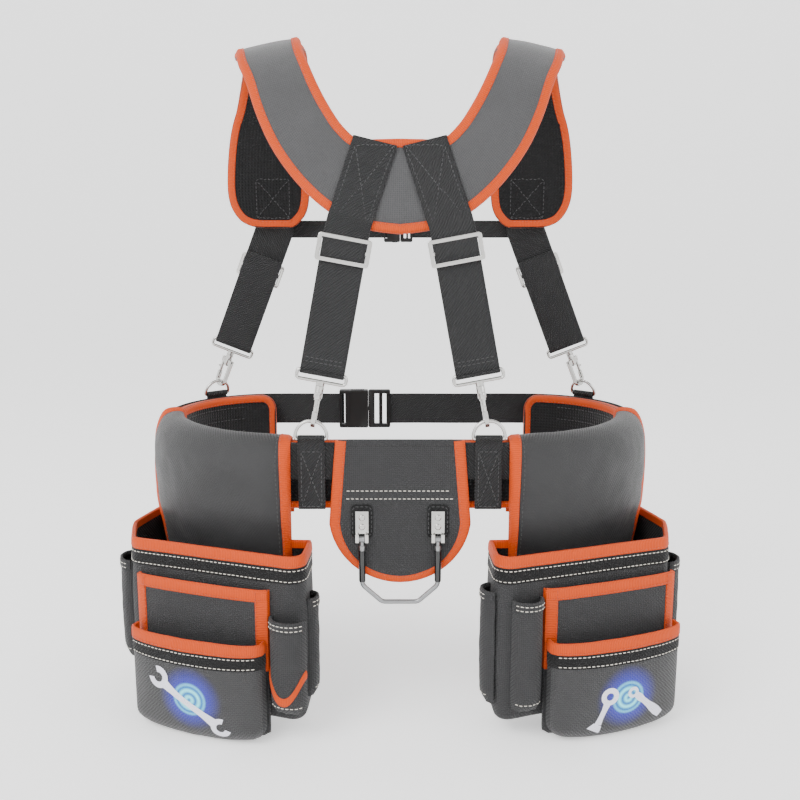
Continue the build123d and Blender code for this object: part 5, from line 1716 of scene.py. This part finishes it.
def sleeve(piece, side, wall, middle, width, depth, bottom, top, taped):
    """A tube of cloth sewn to a pouch wall: open round mouth, gathered bottom."""
    origin, along = WALLS[wall]
    out = Vector((along.y, -along.x, 0))
    turns, levels = 28, 26

    def facing_out(turn):
        return turned(out * sin(turn) - along * cos(turn), side).normalized()

    def at(turn, share, inset=0.0):
        z = top - (top - bottom) * share
        low = max(share - 0.86, 0) / 0.14
        half = (width / 2 - inset) * (1 - 0.10 * low)
        deep = (depth - inset) * (1 - 0.45 * low * low) * (0.93 + 0.07 * sin(pi * share))
        pleat = 0.9 * low * sin(turn * 9)
        a = middle - half * cos(turn) * (1 - 0.04 * sin(turn))
        d = 0.6 + (deep + pleat) * sin(turn) ** 0.75 + 0.5 * wrinkle(Vector((a * 2, z, depth)), 14)
        return turned(origin + along * a + out * max(d, 0.4) + Vector((0, 0, z)), side)

    def grid(inset):
        return [[at(max(pi * k / turns, 0.0001) if k < turns else pi - 0.0001, i / levels, inset)
                 for k in range(turns + 1)] for i in range(levels + 1)]

    outer, inner = grid(0.0), grid(1.6)
    piece.lattice(outer, "cloth")
    piece.lattice(inner[:-2], "lining")
    piece.lattice([outer[0], inner[0]], "cloth")
    floor = turned(origin + along * middle + out * (depth * 0.25) + Vector((0, 0, bottom - 1.5)), side)
    gathered = [[p.lerp(floor, share) for p in outer[-1]] for share in (0.35, 0.7, 0.985)]
    piece.lattice([outer[-1]] + gathered, "lining")

    def line_at(share, lift):
        turning = [pi * (0.12 + 0.76 * k / 24) for k in range(25)]
        outs = [facing_out(turn) for turn in turning]
        return [at(turn, share) + face * lift for turn, face in zip(turning, outs)], outs

    height = top - bottom
    hem = []
    for k in range(29):
        turn = pi * (0.04 + 0.92 * k / 28)
        face = facing_out(turn)
        high, low = at(turn, 0), at(turn, 9 / height)
        hem.append([high - face * 2.2 - UP * 3, high - face * 1.8 + UP * 0.5, high - face * 0.6 + UP * 1.1,
                    high + face * 0.8 + UP * 0.5, high.lerp(low, 0.5) + face * 1.25, low + face * 0.9,
                    low + face * 0.1, high - face * 0.3 - UP])
    piece.lattice(hem, "cloth", False, True, True)
    for drop in (2.6, 6.8):
        piece.stitches(*line_at(drop / height, 1.4))
    piece.stitches(*line_at(1 - 9 / height, 0.5))
    if taped:
        rows = []
        for k in range(33):
            turn = pi * (0.03 + 0.94 * k / 32)
            rise = 26 * abs(cos(turn)) ** 2.2
            face = facing_out(turn)
            shape = []
            for drop, lift in ((0, 0.2), (0.8, 1.2), (4.5, 1.5), (8.2, 1.2), (9, 0.2), (8, -0.5),
                               (1, -0.5)):
                share = min((height - 20 - rise + drop) / height, 1.0)
                shape.append(at(turn, share) + face * lift)
            rows.append(shape)
        piece.lattice(rows, "tape", False, True, True)


class BELT_OT_tool_sleeves(bpy.types.Operator):
    """Stitched tubes on each pouch for pencils, punches and screwdrivers"""

    bl_idname = "belt.tool_sleeves"
    bl_label = "Tool sleeves"

    def execute(self, context):
        for side in SIDES:
            tubes = Piece(f"{side}_sleeve_cloth")
            for sizes in SLEEVES[side]:
                sleeve(tubes, side, *sizes, side == "left" and sizes[0] == "front")
            tubes.done(f"{side}_pouch", [f"{side}_tool_sleeves"])
        return {"FINISHED"}


# ---------------------------------------------------------------- studio
class BELT_OT_stage(bpy.types.Operator):
    """Camera, soft lights, and a pale floor that curves up all round"""

    bl_idname = "belt.stage"
    bl_label = "Studio"

    def execute(self, context):
        stage = context.scene.belt_stage
        camera = bpy.data.cameras.new("belt_camera")
        camera.lens, camera.sensor_width = stage.lens, 36.0
        camera.clip_end = 50
        holder = linked("belt_camera", camera)
        holder.location = (0, -stage.distance, stage.height)
        holder.rotation_euler = (pi / 2 - stage.pitch, 0, 0)
        context.scene.camera = holder

        floor = CAD_BOX[0][2] - 0.001
        profile = ([(0.001, floor), (1.0, floor), (3.0, floor)]
                   + [(3.0 + 1.5 * sin(k * pi / 32), floor + 1.5 - 1.5 * cos(k * pi / 32))
                      for k in range(1, 17)] + [(4.5, 5.0)])
        bm = bmesh.new()
        rows = [[bm.verts.new((radius * cos(k * pi / 48), radius * sin(k * pi / 48), z)) for k in range(96)]
                for radius, z in profile]
        for one, two in zip(rows, rows[1:]):
            for k in range(96):
                bm.faces.new((one[k], one[(k + 1) % 96], two[(k + 1) % 96], two[k])).smooth = True
        bm.faces.new(rows[0])
        mesh = bpy.data.meshes.new("studio_floor")
        bm.to_mesh(mesh)
        bm.free()
        paper = base("studio_paper", {"Roughness": 0.95, "Base Color": hex_colour("#F4F4F4"),
                                      "Specular IOR Level": 0.1, "Emission Color": (1, 1, 1, 1),
                                      "Emission Strength": 0.56})[0]
        mesh.materials.append(paper)
        linked("studio_floor", mesh)

        for name, place, size, watts in (("key", (-1.3, -1.5, 1.9), 1.5, stage.key),
                                         ("fill", (1.7, -1.2, 1.1), 1.3, stage.fill),
                                         ("top", (0.2, 0.5, 2.0), 1.6, stage.fill * 1.1)):
            light = bpy.data.lights.new(f"studio_{name}", "AREA")
            light.size, light.energy = size, watts
            lamp = linked(f"studio_{name}", light)
            lamp.location = place
            lamp.rotation_euler = Vector(place).to_track_quat("Z", "Y").to_euler()
        world = bpy.data.worlds.new("studio_world")
        world.use_nodes = True
        world.node_tree.nodes["Background"].inputs["Color"].default_value = (1, 1, 1, 1)
        world.node_tree.nodes["Background"].inputs["Strength"].default_value = 0.6
        context.scene.world = world
        return {"FINISHED"}


OPERATORS = (BELT_OT_stage, BELT_OT_padded_belt, BELT_OT_waist_webbing, BELT_OT_ring_loops,
             BELT_OT_fittings, BELT_OT_buckles, BELT_OT_yoke, BELT_OT_straps, BELT_OT_chest_strap,
             BELT_OT_hammer_holder, BELT_OT_hammer_loop, BELT_OT_hangers, BELT_OT_main_pockets,
             BELT_OT_tool_pockets, BELT_OT_front_pockets, BELT_OT_tool_sleeves)


class VIEW3D_PT_tool_belt(bpy.types.Panel):
    """Sizes and colours of the belt, and the operators that build it"""

    bl_label = "Tool Belt"
    bl_idname = "VIEW3D_PT_tool_belt"
    bl_space_type = "VIEW_3D"
    bl_region_type = "UI"
    bl_category = "Tool Belt"

    def draw(self, context):
        scene = context.scene
        for group in (scene.belt_colours, scene.belt_make, scene.belt_stage):
            column = self.layout.column(align=True)
            for name in group.__annotations__:
                column.prop(group, name)
        for operator in OPERATORS:
            self.layout.operator(operator.bl_idname)


CLASSES = (BeltColours, BeltMake, BeltStage, *OPERATORS, VIEW3D_PT_tool_belt)


def register():
    for cls in CLASSES:
        bpy.utils.register_class(cls)
    bpy.types.Scene.belt_colours = PointerProperty(type=BeltColours)
    bpy.types.Scene.belt_make = PointerProperty(type=BeltMake)
    bpy.types.Scene.belt_stage = PointerProperty(type=BeltStage)


def unregister():
    del bpy.types.Scene.belt_stage, bpy.types.Scene.belt_make, bpy.types.Scene.belt_colours
    for cls in reversed(CLASSES):
        bpy.utils.unregister_class(cls)


def main():
    register()
    for operator in OPERATORS:
        group, name = operator.bl_idname.split(".")
        getattr(getattr(bpy.ops, group), name)()


if __name__ == "__main__":
    main()
